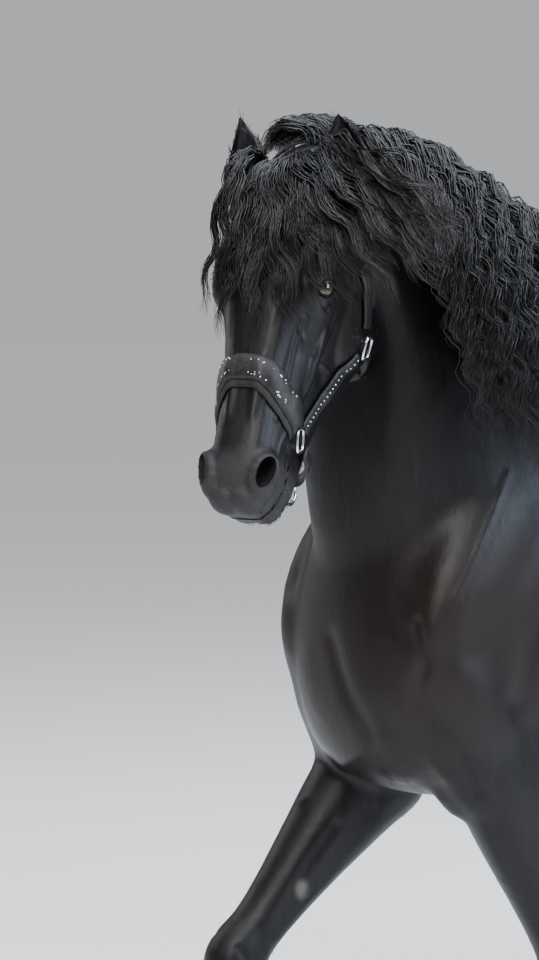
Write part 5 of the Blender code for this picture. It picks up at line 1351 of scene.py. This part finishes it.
def coat_finish():
    """Short glossy black hair with brown where it is bleached and painted highlights on single hairs, and bare
    grey skin at the muzzle with painted shade in the nostrils.
    """
    look = bpy.context.scene.horse
    coat = Finish("coat", IOR=1.42, Specular_IOR_Level=0.30)
    broad, fine = coat.noise(3.5, 4), coat.noise(38, 4)
    hairs = coat.noise(620, 2, 0.6, (1, 0.55, 0.16))
    streaks = coat.noise(150, 3, 0.6, (1, 0.6, 0.14))
    pores = coat.cells(420)
    muzzle = (coat.mask("muzzle") + (fine - 0.5) * 0.5).within(0.30, 0.85)
    warm = (coat.mask("warm") * 0.9 + (broad - 0.5) * 1.3).within(0.45, 1.15)
    # Painted highlights: streaks of the lighter coat colour stand for single hairs catching the light
    black = coat.mix(streaks.within(0.35, 0.75), look.coat_dark[:3], look.coat_light[:3])
    coloured = coat.mix(warm * 0.75, black, look.coat_brown[:3])
    bare = coat.mix(pores.within(0.0, 0.55), look.muzzle_dark[:3], look.muzzle_grey[:3])
    coloured = coat.mix(muzzle * 0.8, coloured, bare)
    horn = coat.mix(fine, (0.045, 0.043, 0.040), (0.12, 0.115, 0.105))
    coloured = coat.mix(coat.mask("chestnut"), coloured, horn)
    # Painted shade: the nostril's hollow and rim are darkened, which dims the rim's highlight
    coloured = coat.mix(coat.mask("nostril") * 0.85, coloured, (0.006, 0.005, 0.005))
    coloured = coat.mix(coat.mask("lids") * 0.8, coloured, (0.012, 0.010, 0.009))
    rough = 0.43 + (fine - 0.5) * 0.14 + (broad - 0.5) * 0.16 + muzzle * 0.16 + coat.mask("legs") * 0.06
    normal = coat.bumped((broad, 0.0035, 0.35), (fine, 0.0016, 0.20), (streaks, 0.0012, 0.40),
                         (hairs, 0.0004, 0.55), (pores * coat.mask("muzzle"), 0.0008, 0.5),
                         (fine * coat.mask("chestnut"), 0.004, 0.9))
    return coat.done(Base_Color=coloured, Roughness=rough, Normal=normal)


# Where the short coat breaks the form: place, reach, tufts, length and the way they lie, first on the head
HEAD_TUFTS = [
    ((0.086, 0.040, 0.030), 0.045, 500, 0.020, (-0.2, -0.7, 0.7)),
    ((0.000, 0.250, -0.230), 0.110, 1000, 0.013, (0.0, 0.8, -0.6)),
    ((0.024, 0.142, -0.535), 0.040, 420, 0.011, (0.0, 0.5, -0.9)),
    ((0.000, 0.165, -0.460), 0.060, 420, 0.014, (0.0, 0.7, -0.7)),
    ((0.083, 0.020, -0.190), 0.020, 160, 0.012, (0.9, -0.6, -0.2)),
]
BODY_TUFTS = [
    ((0.000, 0.250, 0.800), 0.300, 700, 0.016, (0.0, 0.8, -0.4)),
    ((0.000, 0.650, 0.840), 0.300, 700, 0.018, (0.0, 0.8, -0.4)),
    ((0.140, 1.280, 1.150), 0.240, 700, 0.012, (0.0, 0.4, -0.9)),
    ((0.170, 0.800, 0.940), 0.150, 500, 0.016, (0.0, 0.5, -0.8)),
    ((0.060, 0.980, 0.980), 0.160, 500, 0.018, (0.0, 0.5, -0.8)),
]


def tuft_guides(tree, rng, table, carry):
    """Roots of the surface near the named places on both sides, with the way out and the lie of each."""
    roots, outs, lies, lengths = [], [], [], []
    for place, reach, count, length, lie in table:
        for side in (-1, 1):
            spot = carry @ sided(place, side)
            way = (carry.to_3x3() @ sided(lie, side)).normalized()
            for _ in range(count // 2):
                aside = Vector([rng.gauss(0, 0.42) for _ in range(3)]) * reach
                near, out, _, _ = tree.find_nearest(spot + aside)
                roots.append(near)
                outs.append(out)
                lies.append(way + Vector([rng.gauss(0, 0.16) for _ in range(3)]))
                lengths.append(length * rng.uniform(0.6, 1.15))
    return [np.array([tuple(v) for v in rows]) for rows in (roots, outs, lies)] + [np.array(lengths)]


def short_tufts(name, tree, table, carry, seed):
    """Short pointed tufts that lie along the coat and lift off it at their tips."""
    roots, outs, lies, lengths = tuft_guides(tree, random.Random(seed), table, carry)
    lies = unit(lies - outs * (lies * outs).sum(1, keepdims=True) * 0.9)
    share = np.linspace(0, 1, 4)[None, :, None]
    reach = lengths[:, None, None]
    off = outs[:, None] * (0.20 * share ** 1.3 - 0.06) * reach
    centre = roots[:, None] + lies[:, None] * share * reach + off
    flat = np.repeat(unit(np.cross(lies, outs))[:, None], 4, axis=1)
    out = np.repeat(outs[:, None], 4, axis=1)
    thick = 0.0007 * (1 - 0.9 * share[..., 0]) * np.ones((len(roots), 1))
    tone = np.random.default_rng(seed).random(len(roots))
    return strand_mesh(name, centre, flat, out, thick, tone)


def leg_tufts():
    """Places down the backs of the cannons, in the forms' own frame."""
    rows = []
    for leg in LEGS.values():
        joints = [Vector((leg["side"] * leg["spread"][1], y, z)) for y, z in leg["joints"]]
        for share in (0.15, 0.45, 0.75):
            place = joints[2].lerp(joints[3], share) + Vector((0, 0.05, 0))
            rows.append((tuple(place), 0.060, 180, 0.016, (0.0, 0.7, -0.7)))
    return rows


def eye_ball(side):
    """A ball with a clear bulge in front and its colours marked by the angle from the gaze."""
    place = offset() @ head_matrix()
    bm = bmesh.new()
    bmesh.ops.create_uvsphere(bm, u_segments=56, v_segments=40, radius=EYE_BALL - 0.0004)
    gaze = sided(EYE_GAZE, side)
    turn = frame_along(gaze, Vector((0, 0.3, 1)))
    values = []
    for vertex in bm.verts:
        away = vertex.co.normalized()
        angle = math.acos(max(-1, min(1, away.z)))
        vertex.co *= 1 + 0.035 * math.exp(-(angle / 0.50) ** 4)
        slot = math.hypot(away.x / 1.55, away.y / 0.80)
        values.append((angle, slot))
    bm.transform(place @ Matrix.Translation(sided(EYE, side)) @ turn)
    mesh = bpy.data.meshes.new("eye")
    bm.to_mesh(mesh)
    bm.free()
    angles, slots = zip(*values)
    carries(mesh, angle=angles, pupil=slots)
    mesh.shade_smooth()
    return placed("eyeball_" + ("left" if side > 0 else "right"), mesh)


def eye_finish():
    """A dark brown iris with its level pupil, under a clear coat."""
    eye = Finish("eye", IOR=1.38, Coat_Weight=1.0, Coat_Roughness=0.02)
    angle, slot = eye.mask("angle"), eye.mask("pupil")
    fibres = eye.noise(520, 4, 0.7)
    iris = eye.mix(fibres.within(0.3, 0.7), (0.010, 0.005, 0.003), (0.050, 0.022, 0.009))
    colour = eye.mix((slot - 0.17).within(0.0, 0.03), (0.001, 0.001, 0.002), iris)
    colour = eye.mix(angle.within(0.62, 0.70), colour, (0.006, 0.005, 0.004))
    colour = eye.mix(angle.within(0.95, 1.15), colour, (0.030, 0.020, 0.017))
    return eye.done(Base_Color=colour, Roughness=0.08 + fibres * 0.04)


def hoof_mesh(bm, leg):
    """The wall of a hoof with its growth rings, down to a flat sole."""
    y, top = leg["joints"][-1]
    x = leg["side"] * leg["spread"][1]
    wide = 1.0 if leg["fore"] else 0.94
    count, levels = 72, 26
    loops = []
    for level in range(levels + 1):
        t = level / levels
        points = []
        for k in range(count):
            angle = 2 * math.pi * k / count
            c, s = math.cos(angle), math.sin(angle)
            front = s > 0
            heel = math.exp(-((angle - 1.5 * math.pi) / 0.30) ** 2)
            flat = Vector((x + 0.068 * wide * math.copysign(abs(c) ** 0.9, c),
                           y - 0.028 - (0.072 if front else 0.062 - 0.010 * heel)
                           * math.copysign(abs(s) ** (0.92 if front else 0.7), s), 0))
            ahead = (0.054 if front else 0.052) * s
            band = Vector((x + 0.0555 * wide * c, y - ahead, top - 0.020 + 0.24 * ahead))
            ridge = 0.0006 * math.sin(46 * t + 0.6 * math.sin(2 * angle)) * min(1, 6 * t)
            ridge += 0.0012 * math.exp(-(t / 0.06) ** 2)
            way = Vector((c, -s, 0)) * (ridge - 0.0011)
            points.append(flat.lerp(band, t) + way)
        loops.append(points)
    middle = Vector((x, y, top - 0.014))
    for share in (0.2, 0.5, 0.8):
        loops.append([p.lerp(middle, share) + Vector((0, 0, 0.004)) for p in loops[levels]])
    sole = [p.lerp(Vector((x, y - 0.03, 0.0)), 0.10) for p in loops[0]]
    inner = [p.lerp(Vector((x, y - 0.03, 0.010)), 0.30) + Vector((0, 0, 0.007)) for p in loops[0]]
    loft(bm, [inner, sole] + loops)


def hoof_finish():
    """Dark horn with fine upright lines, growth rings and some dust."""
    hoof = Finish("hoof_horn", IOR=1.5)
    lines = hoof.noise(90, 4, 0.6, (1, 1, 0.10))
    rings = hoof.noise(140, 3, 0.6, (0.08, 0.08, 1))
    dust = hoof.noise(24, 4)
    colour = hoof.mix(lines, (0.012, 0.011, 0.011), (0.050, 0.044, 0.040))
    colour = hoof.mix((dust + rings * 0.4 - 0.62).within(0, 0.5) * 0.5, colour, (0.16, 0.14, 0.12))
    return hoof.done(Base_Color=colour, Roughness=0.38 + lines * 0.22,
                     Normal=hoof.bumped((rings, 0.0012, 0.5), (lines, 0.0006, 0.6)))


def band(bm, tree, points, width, thickness, pull, lift, crown=0.0, samples=12, columns=7):
    """A strap over the surface through named points, crowned where it is padded and rounded at its edges."""
    line = bowed(points, samples)
    rested = [kept_off(tree, p, lift, pull) for p in line]
    for _ in range(3):
        spots = [r[0] for r in rested]
        eased = [(a + 2 * b + c) / 4 for a, b, c in zip(spots, spots[1:], spots[2:])]
        spots = [spots[0]] + eased + [spots[-1]]
        rested = [(spot, old[1]) for spot, old in zip(spots, rested)]
    count, loops = len(rested), []
    for k, (place, out) in enumerate(rested):
        along = (rested[min(k + 1, count - 1)][0] - rested[max(k - 1, 0)][0]).normalized()
        across = along.cross(out).normalized()
        inner, outer = [], []
        for c in range(columns):
            t = 2 * c / (columns - 1) - 1
            spot, normal = kept_off(tree, place + across * (0.5 * width * t), lift, pull * 0.5)
            normal = (normal + out).normalized()
            edge = 1 - 0.30 * abs(t) ** 4
            inner.append(bm.verts.new(spot + normal * 0.08 * thickness * abs(t) ** 6))
            outer.append(bm.verts.new(spot + normal * (thickness * edge + crown * (1 - t * t))))
        loops.append(inner + outer[::-1])
    for a, b in zip(loops, loops[1:]):
        joined(bm, a, b)
    bm.faces.new(loops[0][::-1])
    bm.faces.new(loops[-1])


def beads(bm, tree, line, gap, radius, out):
    """Little cut stones set along a line."""
    reach = 0.0
    last = line[0]
    for a, b in zip(line, line[1:]):
        reach += (b - a).length
        if reach < gap:
            continue
        reach = 0.0
        place, normal = kept_off(tree, b, out, STONE_PULL)
        matrix = Matrix.Translation(place) @ frame_along(normal, (b - last).normalized())
        last = a
        bmesh.ops.create_cone(bm, cap_ends=True, segments=6, radius1=radius, radius2=radius * 0.55,
                              depth=radius * 0.9, matrix=matrix)


def stitched(line, tree, offset_by, lift, bm):
    """Short raised stitches beside the edge of a strap."""
    count = len(line)
    for k in range(1, count - 1):
        along = (line[k + 1] - line[k - 1]).normalized()
        place, out = kept_off(tree, line[k], lift, STONE_PULL)
        across = along.cross(out).normalized()
        at, normal = kept_off(tree, place + across * offset_by, lift, STONE_PULL)
        size = Matrix.Diagonal((0.0007, 0.0004, 0.0018, 1))
        matrix = Matrix.Translation(at) @ frame_along(along, normal) @ size
        bmesh.ops.create_icosphere(bm, subdivisions=1, radius=1, matrix=matrix)


def both_ways(points):
    """A line from the middle out to the left, made whole across the head."""
    return [(-x, y, z) for x, y, z in points[:0:-1]] + [tuple(p) for p in points]


def metal_loop(bm, middle, facing, up, wide, high, bar, square=3.5):
    """A rounded square ring of round wire."""
    turn = frame_along(facing, up)
    count, sides = 48, 14
    rings = []
    for k in range(count):
        angle = 2 * math.pi * (k + 0.5) / count
        c, s = math.cos(angle), math.sin(angle)
        x, y = (math.copysign(abs(v) ** (2 / square), v) for v in (c, s))
        centre = Vector((wide * x, high * y, 0))
        away = Vector((x, y, 0)).normalized()
        loop = []
        for a in (2 * math.pi * j / sides for j in range(sides)):
            wall = away * bar * math.cos(a) + Vector((0, 0, bar * math.sin(a)))
            loop.append(bm.verts.new(middle + turn @ (centre + wall)))
        rings.append(loop)
    for k in range(count):
        joined(bm, rings[k], rings[(k + 1) % count])


def leather_finish(name, dark, light, rough, grain=0.5):
    """Pebbled leather, worn lighter in places."""
    leather = Finish(name, IOR=1.5, Specular_IOR_Level=0.26)
    pebbles, wear, fine = leather.cells(900), leather.noise(60, 4), leather.noise(1500, 2)
    colour = leather.mix((wear * 0.9 + pebbles * 0.3).within(0.45, 0.95) * 0.7, dark, light)
    return leather.done(Base_Color=colour, Roughness=rough + (wear - 0.5) * 0.18,
                        Normal=leather.bumped((pebbles, 0.0004, grain), (fine, 0.0002, 0.3)))


def metal_finish():
    """Polished steel with faint smears."""
    metal = Finish("polished_steel", Metallic=1.0)
    smear = metal.noise(120, 4)
    colour = metal.mix(smear, (0.62, 0.62, 0.64), (0.82, 0.82, 0.84))
    return metal.done(Base_Color=colour, Roughness=0.12 + smear * 0.14)


def crystal_finish():
    """Cut glass backed with foil."""
    stone = Finish("cut_glass", IOR=1.8, Specular_IOR_Level=0.9, Coat_Weight=1.0, Coat_Roughness=0.03)
    facet = stone.noise(700, 1)
    colour = stone.mix(facet, (0.45, 0.48, 0.52), (0.92, 0.94, 0.98))
    return stone.done(Base_Color=colour, Roughness=0.08 + facet * 0.1)


def boot_mesh(bm, leg, sides=56, steps=40):
    """A sleeve round the cannon, padded between its stitched lines."""
    rows = leg_points(leg)
    joints = [Vector((0, y, z)) for y, z in leg["joints"]]
    sizes = np.array([(r[0], r[3], r[4], r[5]) for r in rows])
    heights = [-r[2] for r in rows]
    along = (joints[3] - joints[2]).normalized()
    ahead = along.cross(Vector((1, 0, 0)))
    ahead = ahead if ahead.y < 0 else -ahead
    rings = []
    low, high = BOOT_SHARES
    for k in range(steps + 1):
        t = k / steps
        centre = joints[2].lerp(joints[3], low + (high - low) * t)
        x, front, back, half = (float(np.interp(-centre.z, heights, sizes[:, c])) for c in range(4))
        puff = BOOT_THICKNESS - 0.0045 * (math.exp(-(t / 0.02) ** 2) + math.exp(-((1 - t) / 0.02) ** 2))
        for place in (0.30, 0.62):
            puff -= 0.0010 * math.exp(-((t - place) / 0.012) ** 2)
        rings.append(ring((x, centre.y, centre.z), (1, 0, 0), ahead, half + puff, front + puff, back + puff,
                          2.2, 2.2, sides))
    loft(bm, rings)


def boot_finish(colour, light):
    """Pale woven cloth, a little dusty."""
    cloth = Finish("boot_cloth", Sheen_Weight=0.25, Sheen_Roughness=0.5)
    weave = cloth.cells(1100, (1, 1, 0.7))
    fluff, dirt = cloth.noise(420, 3), cloth.noise(14, 5)
    shade = cloth.mix(fluff, colour, light)
    shade = cloth.mix((dirt - 0.5).within(0.0, 0.25) * 0.35, shade, (0.30, 0.27, 0.23))
    return cloth.done(Base_Color=shade, Roughness=0.78 + fluff * 0.12,
                      Normal=cloth.bumped((weave, 0.0006, 0.5), (fluff, 0.0008, 0.5)))


def area_light(name, place, target, size, watts, colour):
    """A soft rectangular lamp aimed at a point."""
    light = bpy.data.lights.new(name, "AREA")
    light.shape, light.size, light.size_y = "RECTANGLE", size[0], size[1]
    light.energy, light.color = watts, colour
    obj = placed(name, light)
    obj.location = place
    obj.rotation_euler = (target - place).to_track_quat("-Z", "Y").to_euler()


def floor_finish(colour):
    """A plain floor with a faint grain."""
    floor = Finish("pale_floor")
    grain = floor.noise(40, 4)
    return floor.done(Base_Color=floor.mix(grain, colour, tuple(min(1.0, c * 1.04) for c in colour)),
                      Roughness=0.85 + grain * 0.08)


def photo_camera():
    """The photograph's own view."""
    eye, right, up, ahead = camera_place()
    lens = bpy.data.cameras.new("photo")
    lens.sensor_fit, lens.sensor_width, lens.sensor_height = "AUTO", 36, 36
    lens.lens = 36 * FOCAL / PHOTO_HEIGHT
    lens.clip_end = 400
    obj = placed("photo", lens)
    obj.matrix_world = Matrix.Translation(eye) @ Matrix((right, up, -ahead)).transposed().to_4x4()
    bpy.context.scene.camera = obj


def studio_world():
    """A pale backdrop, with a dimmer even light from all round."""
    world = bpy.data.worlds.new("studio")
    world.use_nodes = True
    nodes, links = world.node_tree.nodes, world.node_tree.links
    around = nodes["Background"]
    kinds = ("ShaderNodeBackground", "ShaderNodeLightPath", "ShaderNodeMixShader")
    backdrop, rays, choice = (nodes.new(kind) for kind in kinds)
    for node, colour, strength in ((around, (0.80, 0.86, 1.0, 1), WORLD_LIGHT),
                                   (backdrop, (0.80, 0.82, 0.84, 1), BACKDROP_LIGHT)):
        node.inputs["Color"].default_value = colour
        node.inputs["Strength"].default_value = strength
    links.new(rays.outputs["Is Camera Ray"], choice.inputs["Fac"])
    for node, socket in ((around, 1), (backdrop, 2)):
        links.new(node.outputs[0], choice.inputs[socket])
    links.new(choice.outputs[0], nodes["World Output"].inputs["Surface"])
    return world


def finish_piece(obj, material, slot, *nodes):
    """Gives a piece its material and its body, and hides the imported parts that it stands for; the slot is not
    used.
    """
    obj.data.materials.clear()
    obj.data.materials.append(material)
    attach(obj, "root")
    if nodes:
        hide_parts(*nodes)
    return obj


def long_hair(name, kind, guides, each, seed, material, node):
    """A piece of long hair of one kind, along guides in the forms' own frame."""
    hair = strands(name, carried(guides, offset()), each, seed, **LONG_HAIR[kind])
    return finish_piece(hair, material, "long_hair", node)


def colour_prop(name, about, value):
    """A colour that the panel shows."""
    return bpy.props.FloatVectorProperty(name=name, description=about, default=value, size=len(value), min=0,
                                         max=1, subtype="COLOR")


def length_prop(name, about, value, high):
    """A length that the panel shows."""
    return bpy.props.FloatProperty(name=name, description=about, default=value, min=0, max=high, precision=4,
                                   subtype="DISTANCE", unit="LENGTH")


class HorseLooks(bpy.types.PropertyGroup):
    """Sizes and colours of the coat, the hair and the tack."""
    coat_depth: length_prop("Coat depth", "How far the skin lies under the packed solids", 0.0015, 0.01)
    strand_width: length_prop("Strand width", "Width of a strand of long hair at its root", 0.0021, 0.01)
    crimp: length_prop("Crimp", "Height of the ripples of mane and tail", 0.0105, 0.02)
    crimp_length: length_prop("Crimp length", "Distance from one ripple to the next", 0.074, 0.3)
    mane_strands: bpy.props.IntProperty(name="Mane strands", description="Strands in each lock of the mane",
                                        default=12, min=1, max=90)
    tail_strands: bpy.props.IntProperty(name="Tail strands", description="Strands in each lock of the tail",
                                        default=28, min=1, max=90)
    coat_dark: colour_prop("Coat, dark", "Black of the short coat", (0.0022, 0.0021, 0.0025))
    coat_light: colour_prop("Coat, light", "Where single hairs catch the light", (0.0060, 0.0056, 0.0062))
    coat_brown: colour_prop("Coat, brown", "Where the coat is bleached", (0.0125, 0.0066, 0.0046))
    muzzle_dark: colour_prop("Muzzle, dark", "Skin of the lips", (0.0100, 0.0092, 0.0100))
    muzzle_grey: colour_prop("Muzzle, grey", "Skin of the muzzle", (0.0300, 0.0285, 0.0300))
    hair_dark: colour_prop("Hair, dark", "Long hair at its root", (0.0022, 0.0020, 0.0023))
    hair_light: colour_prop("Hair, light", "Long hair at its tips", (0.0100, 0.0084, 0.0082))
    leather: colour_prop("Leather", "Halter leather", (0.0070, 0.0070, 0.0080))
    boot: colour_prop("Boots", "Cloth of the boots", (0.50, 0.48, 0.55))
    floor: colour_prop("Floor", "Pale studio floor", (0.78, 0.78, 0.77))


class HORSE_OT_skin(bpy.types.Operator):
    """Build the skin of the whole horse in one piece, with its coat"""
    bl_idname = "horse.skin"
    bl_label = "Skin"

    def execute(self, context):
        skin = marked(sculpted(whole_skin()))
        skin.data.shade_smooth()
        finish_piece(skin, coat_finish(), "coat", *FLESH, *LEGS, *("lower_" + name for name in LEGS))
        return {"FINISHED"}


class HORSE_OT_eyes(bpy.types.Operator):
    """Build both eyes"""
    bl_idname = "horse.eyes"
    bl_label = "Eyes"

    def execute(self, context):
        material = eye_finish()
        for side, name in ((1, "eye_left"), (-1, "eye_right")):
            finish_piece(eye_ball(side), material, "eye", name)
        return {"FINISHED"}


class HORSE_OT_hooves(bpy.types.Operator):
    """Build the four hooves"""
    bl_idname = "horse.hooves"
    bl_label = "Hooves"

    def execute(self, context):
        material = hoof_finish()
        for name, leg in LEGS.items():
            hoof = made("horn_" + name, hoof_mesh, leg)
            hoof.data.transform(offset())
            hoof.data.shade_smooth()
            finish_piece(hoof, material, "hoof", "hoof_" + name)
        return {"FINISHED"}


class HORSE_OT_mane(bpy.types.Operator):
    """Lay the mane down the left side of the neck, with the roll that tips over in front"""
    bl_idname = "horse.mane"
    bl_label = "Mane"

    def execute(self, context):
        look = context.scene.horse
        material = hair_finish("mane_hair", look.hair_dark[:3], look.hair_light[:3], 0.34)
        for part in range(MANE_PARTS):
            guides = mane_guides(part)
            long_hair("mane_%d" % (part + 1), "mane", guides, look.mane_strands, 100 + part, material, "neck")
        long_hair("mane_roll", "roll", roll_guides(), ROLL_STRANDS, 110, material, "neck")
        return {"FINISHED"}


class HORSE_OT_forelock(bpy.types.Operator):
    """Lay the forelock over the forehead and the eyes"""
    bl_idname = "horse.forelock"
    bl_label = "Forelock"

    def execute(self, context):
        look = context.scene.horse
        material = hair_finish("forelock_hair", look.hair_dark[:3], (0.0125, 0.0080, 0.0060), 0.34)
        long_hair("forelock", "forelock", forelock_guides(), FORELOCK_STRANDS, 120, material, "head")
        return {"FINISHED"}


class HORSE_OT_tail(bpy.types.Operator):
    """Hang the tail from its dock"""
    bl_idname = "horse.tail"
    bl_label = "Tail"

    def execute(self, context):
        look = context.scene.horse
        material = hair_finish("tail_hair", look.hair_dark[:3], look.hair_light[:3], 0.36)
        for part in range(TAIL_PARTS):
            guides = tail_guides(part)
            long_hair("tail_%d" % (part + 1), "tail", guides, look.tail_strands, 130 + part, material, "tail")
        return {"FINISHED"}


class HORSE_OT_feathering(bpy.types.Operator):
    """Lay the feathering over the fetlocks and hooves"""
    bl_idname = "horse.feathering"
    bl_label = "Feathering"

    def execute(self, context):
        look = context.scene.horse
        material = hair_finish("feather_hair", look.hair_dark[:3], look.hair_light[:3], 0.42)
        for seed, (name, leg) in enumerate(LEGS.items()):
            guides = feather_guides(leg, 40 + seed)
            long_hair("feather_" + name, "feather", guides, FEATHER_STRANDS, 140 + seed, material,
                      "lower_" + name)
        return {"FINISHED"}


class HORSE_OT_coat(bpy.types.Operator):
    """Lift the short coat in tufts at the ears, jaw, chin, belly, stifles, buttocks and backs of the legs"""
    bl_idname = "horse.coat"
    bl_label = "Short coat"

    def execute(self, context):
        look, skin = context.scene.horse, tree_of(bpy.data.objects["skin"])
        # Painted light: the tufts darken towards their roots as painted shade and turn to the coat's painted
        # highlight colour at their tips
        material = hair_finish("short_hair", look.coat_dark[:3], look.coat_light[:3], 0.45)
        for name, table, carry, node in (("tufts_head", HEAD_TUFTS, offset() @ head_matrix(), "head"),
                                         ("tufts_body", BODY_TUFTS, offset(), "torso"),
                                         ("tufts_legs", leg_tufts(), offset(), "lower_foreleg_left")):
            finish_piece(short_tufts(name, skin, table, carry, len(name)), material, "coat", node)
        return {"FINISHED"}


class HORSE_OT_halter(bpy.types.Operator):
    """Build the padded halter with its stones, stitches and rings"""
    bl_idname = "horse.halter"
    bl_label = "Halter"

    def execute(self, context):
        look, place = context.scene.horse, offset() @ head_matrix()
        turn, skin = place.to_3x3(), tree_of(bpy.data.objects["skin"])
        shell = leather_finish("halter_leather", look.leather[:3], (0.045, 0.042, 0.040), 0.40)
        soft = leather_finish("halter_lining", (0.010, 0.010, 0.010), (0.030, 0.029, 0.028), 0.62, 0.8)
        thread = leather_finish("halter_thread", (0.020, 0.020, 0.020), (0.060, 0.058, 0.055), 0.7)
        metal, stone = metal_finish(), crystal_finish()

        def world(points, side=1):
            return [place @ sided(p, side) for p in points]

        straps = [
            ("noseband", both_ways(NOSEBAND), 1, 0.040, 0.0060, 0.0030),
            ("chin_strap", both_ways(CHIN_STRAP), 1, 0.022, 0.0045, 0.0),
            ("throat_strap", both_ways(THROAT_STRAP), 1, 0.020, 0.0036, 0.0),
            ("crown_strap", both_ways(CROWN_STRAP), 1, 0.024, 0.0045, 0.0),
            ("cheek_strap_left", CHEEK_STRAP, 1, 0.024, 0.0050, 0.0),
            ("cheek_strap_right", CHEEK_STRAP, -1, 0.024, 0.0050, 0.0),
        ]
        stitches = bmesh.new()
        for name, points, side, width, thickness, crown in straps:
            line = world(points, side)
            pull = 0.0 if name in ("chin_strap", "throat_strap") else STRAP_PULL
            piece = made("leather_" + name, band, skin, line, width, thickness, pull, STRAP_LIFT, crown)
            piece.data.shade_smooth()
            finish_piece(piece, shell, "halter_leather", name)
            fine = bowed(line, 16)
            for edge in (-0.42, 0.42):
                stitched(fine, skin, width * edge, STRAP_LIFT + thickness * 0.92, stitches)
        lower = turn @ Vector((0, 0, -0.007))
        padded = [p + lower for p in world(both_ways(NOSEBAND))]
        lining = made("leather_lining", band, skin, padded, 0.050, 0.0035, STRAP_PULL, 0.0012)
        lining.data.shade_smooth()
        finish_piece(lining, soft, "halter_leather", "noseband")
        sewn = object_of("leather_stitches", stitches)
        finish_piece(sewn, thread, "halter_leather", "noseband")
        stones = bmesh.new()
        rng = random.Random(3)
        fine = bowed(world(both_ways(NOSEBAND)), 10)
        for _ in range(NOSEBAND_STONES):
            k = rng.randrange(8, len(fine) - 8)
            if abs(k - len(fine) // 2) < PLAIN_HALF:
                continue
            along = (fine[k + 1] - fine[k - 1]).normalized()
            spot, out = kept_off(skin, fine[k], 0.0100, STONE_PULL)
            across = along.cross(out)
            spot = spot + across * rng.uniform(-0.014, 0.014) + along * rng.uniform(-0.005, 0.005)
            beads(stones, skin, [spot, spot + along * 0.001], 0.0, rng.uniform(0.0009, 0.0016), 0.0104)
        for side in (-1, 1):
            beads(stones, skin, bowed(world(CHEEK_STRAP, side), 40), 0.0090, 0.0015, 0.0080)
        gems = object_of("halter_stones", stones)
        finish_piece(gems, stone, "halter_metal", "noseband")
        for side, label in ((-1, "right"), (1, "left")):
            for spot, node in ((LOWER_RING, "nose_ring_"), (UPPER_RING, "cheek_ring_")):
                resting, out = kept_off(skin, place @ sided(spot, side), RING_LIFT, STONE_PULL)
                up = (turn @ Vector((0, -0.35, 1))).normalized()
                loop = made("steel_" + node + label, metal_loop, resting, out, up, 0.015, 0.018, 0.0028)
                loop.data.shade_smooth()
                finish_piece(loop, metal, "halter_metal", node + label)
        loop = made("steel_chin_ring", metal_loop, place @ Vector(CHIN_RING), turn @ Vector((1, 0, 0)),
                    turn @ Vector((0, 1, 0)), 0.019, 0.019, 0.003, 2.0)
        loop.data.shade_smooth()
        finish_piece(loop, metal, "halter_metal", "chin_ring")
        return {"FINISHED"}


class HORSE_OT_boots(bpy.types.Operator):
    """Build the tendon boots of the forelegs"""
    bl_idname = "horse.boots"
    bl_label = "Boots"

    def execute(self, context):
        colour = tuple(context.scene.horse.boot[:3])
        material = boot_finish(colour, tuple(min(1.0, c * 1.25) for c in colour))
        for name, leg in LEGS.items():
            if leg["fore"]:
                boot = made("cloth_boot_" + name, boot_mesh, leg)
                boot.data.transform(offset())
                boot.data.shade_smooth()
                finish_piece(boot, material, "boot", "boot_" + name)
        return {"FINISHED"}


class HORSE_OT_stage(bpy.types.Operator):
    """Set the floor, the soft lights and the camera"""
    bl_idname = "horse.stage"
    bl_label = "Stage"

    def execute(self, context):
        bm = bmesh.new()
        bmesh.ops.create_circle(bm, cap_ends=True, segments=96, radius=60)
        floor = object_of("floor", bm)
        floor.data.materials.append(floor_finish(tuple(context.scene.horse.floor[:3])))
        context.scene.world = studio_world()
        low, high = (Vector(corner) for corner in PACKED)
        middle = (low + high) / 2
        for name, (place, aim, size, watts, colour) in LIGHTS.items():
            area_light(name, middle + Vector(place), middle + Vector(aim), size, watts, colour)
        sun = bpy.data.lights.new("daylight", "SUN")
        sun.energy, sun.angle, sun.color = 1.9, 1.3, (0.95, 0.97, 1.0)
        placed("daylight", sun).rotation_euler = (0.35, 0.30, 0)
        photo_camera()
        return {"FINISHED"}


class HORSE_PT_panel(bpy.types.Panel):
    """Lists the pieces of the horse in the order they are made"""
    bl_idname = "HORSE_PT_panel"
    bl_label = "Friesian horse"
    bl_space_type = "VIEW_3D"
    bl_region_type = "UI"
    bl_category = "Horse"

    def draw(self, context):
        for prop in HorseLooks.__annotations__:
            self.layout.prop(context.scene.horse, prop)
        for operator in PIECES:
            self.layout.operator(operator.bl_idname)


PIECES = (HORSE_OT_skin, HORSE_OT_eyes, HORSE_OT_hooves, HORSE_OT_mane, HORSE_OT_forelock, HORSE_OT_tail,
          HORSE_OT_feathering, HORSE_OT_coat, HORSE_OT_halter, HORSE_OT_boots, HORSE_OT_stage)
CLASSES = (HorseLooks,) + PIECES + (HORSE_PT_panel,)


def register():
    for cls in CLASSES:
        bpy.utils.register_class(cls)
    bpy.types.Scene.horse = bpy.props.PointerProperty(type=HorseLooks)


def unregister():
    del bpy.types.Scene.horse
    for cls in reversed(CLASSES):
        bpy.utils.unregister_class(cls)


def main():
    register()
    for operator in PIECES:
        group, name = operator.bl_idname.split(".")
        getattr(getattr(bpy.ops, group), name)()


if __name__ == "__main__":
    main()
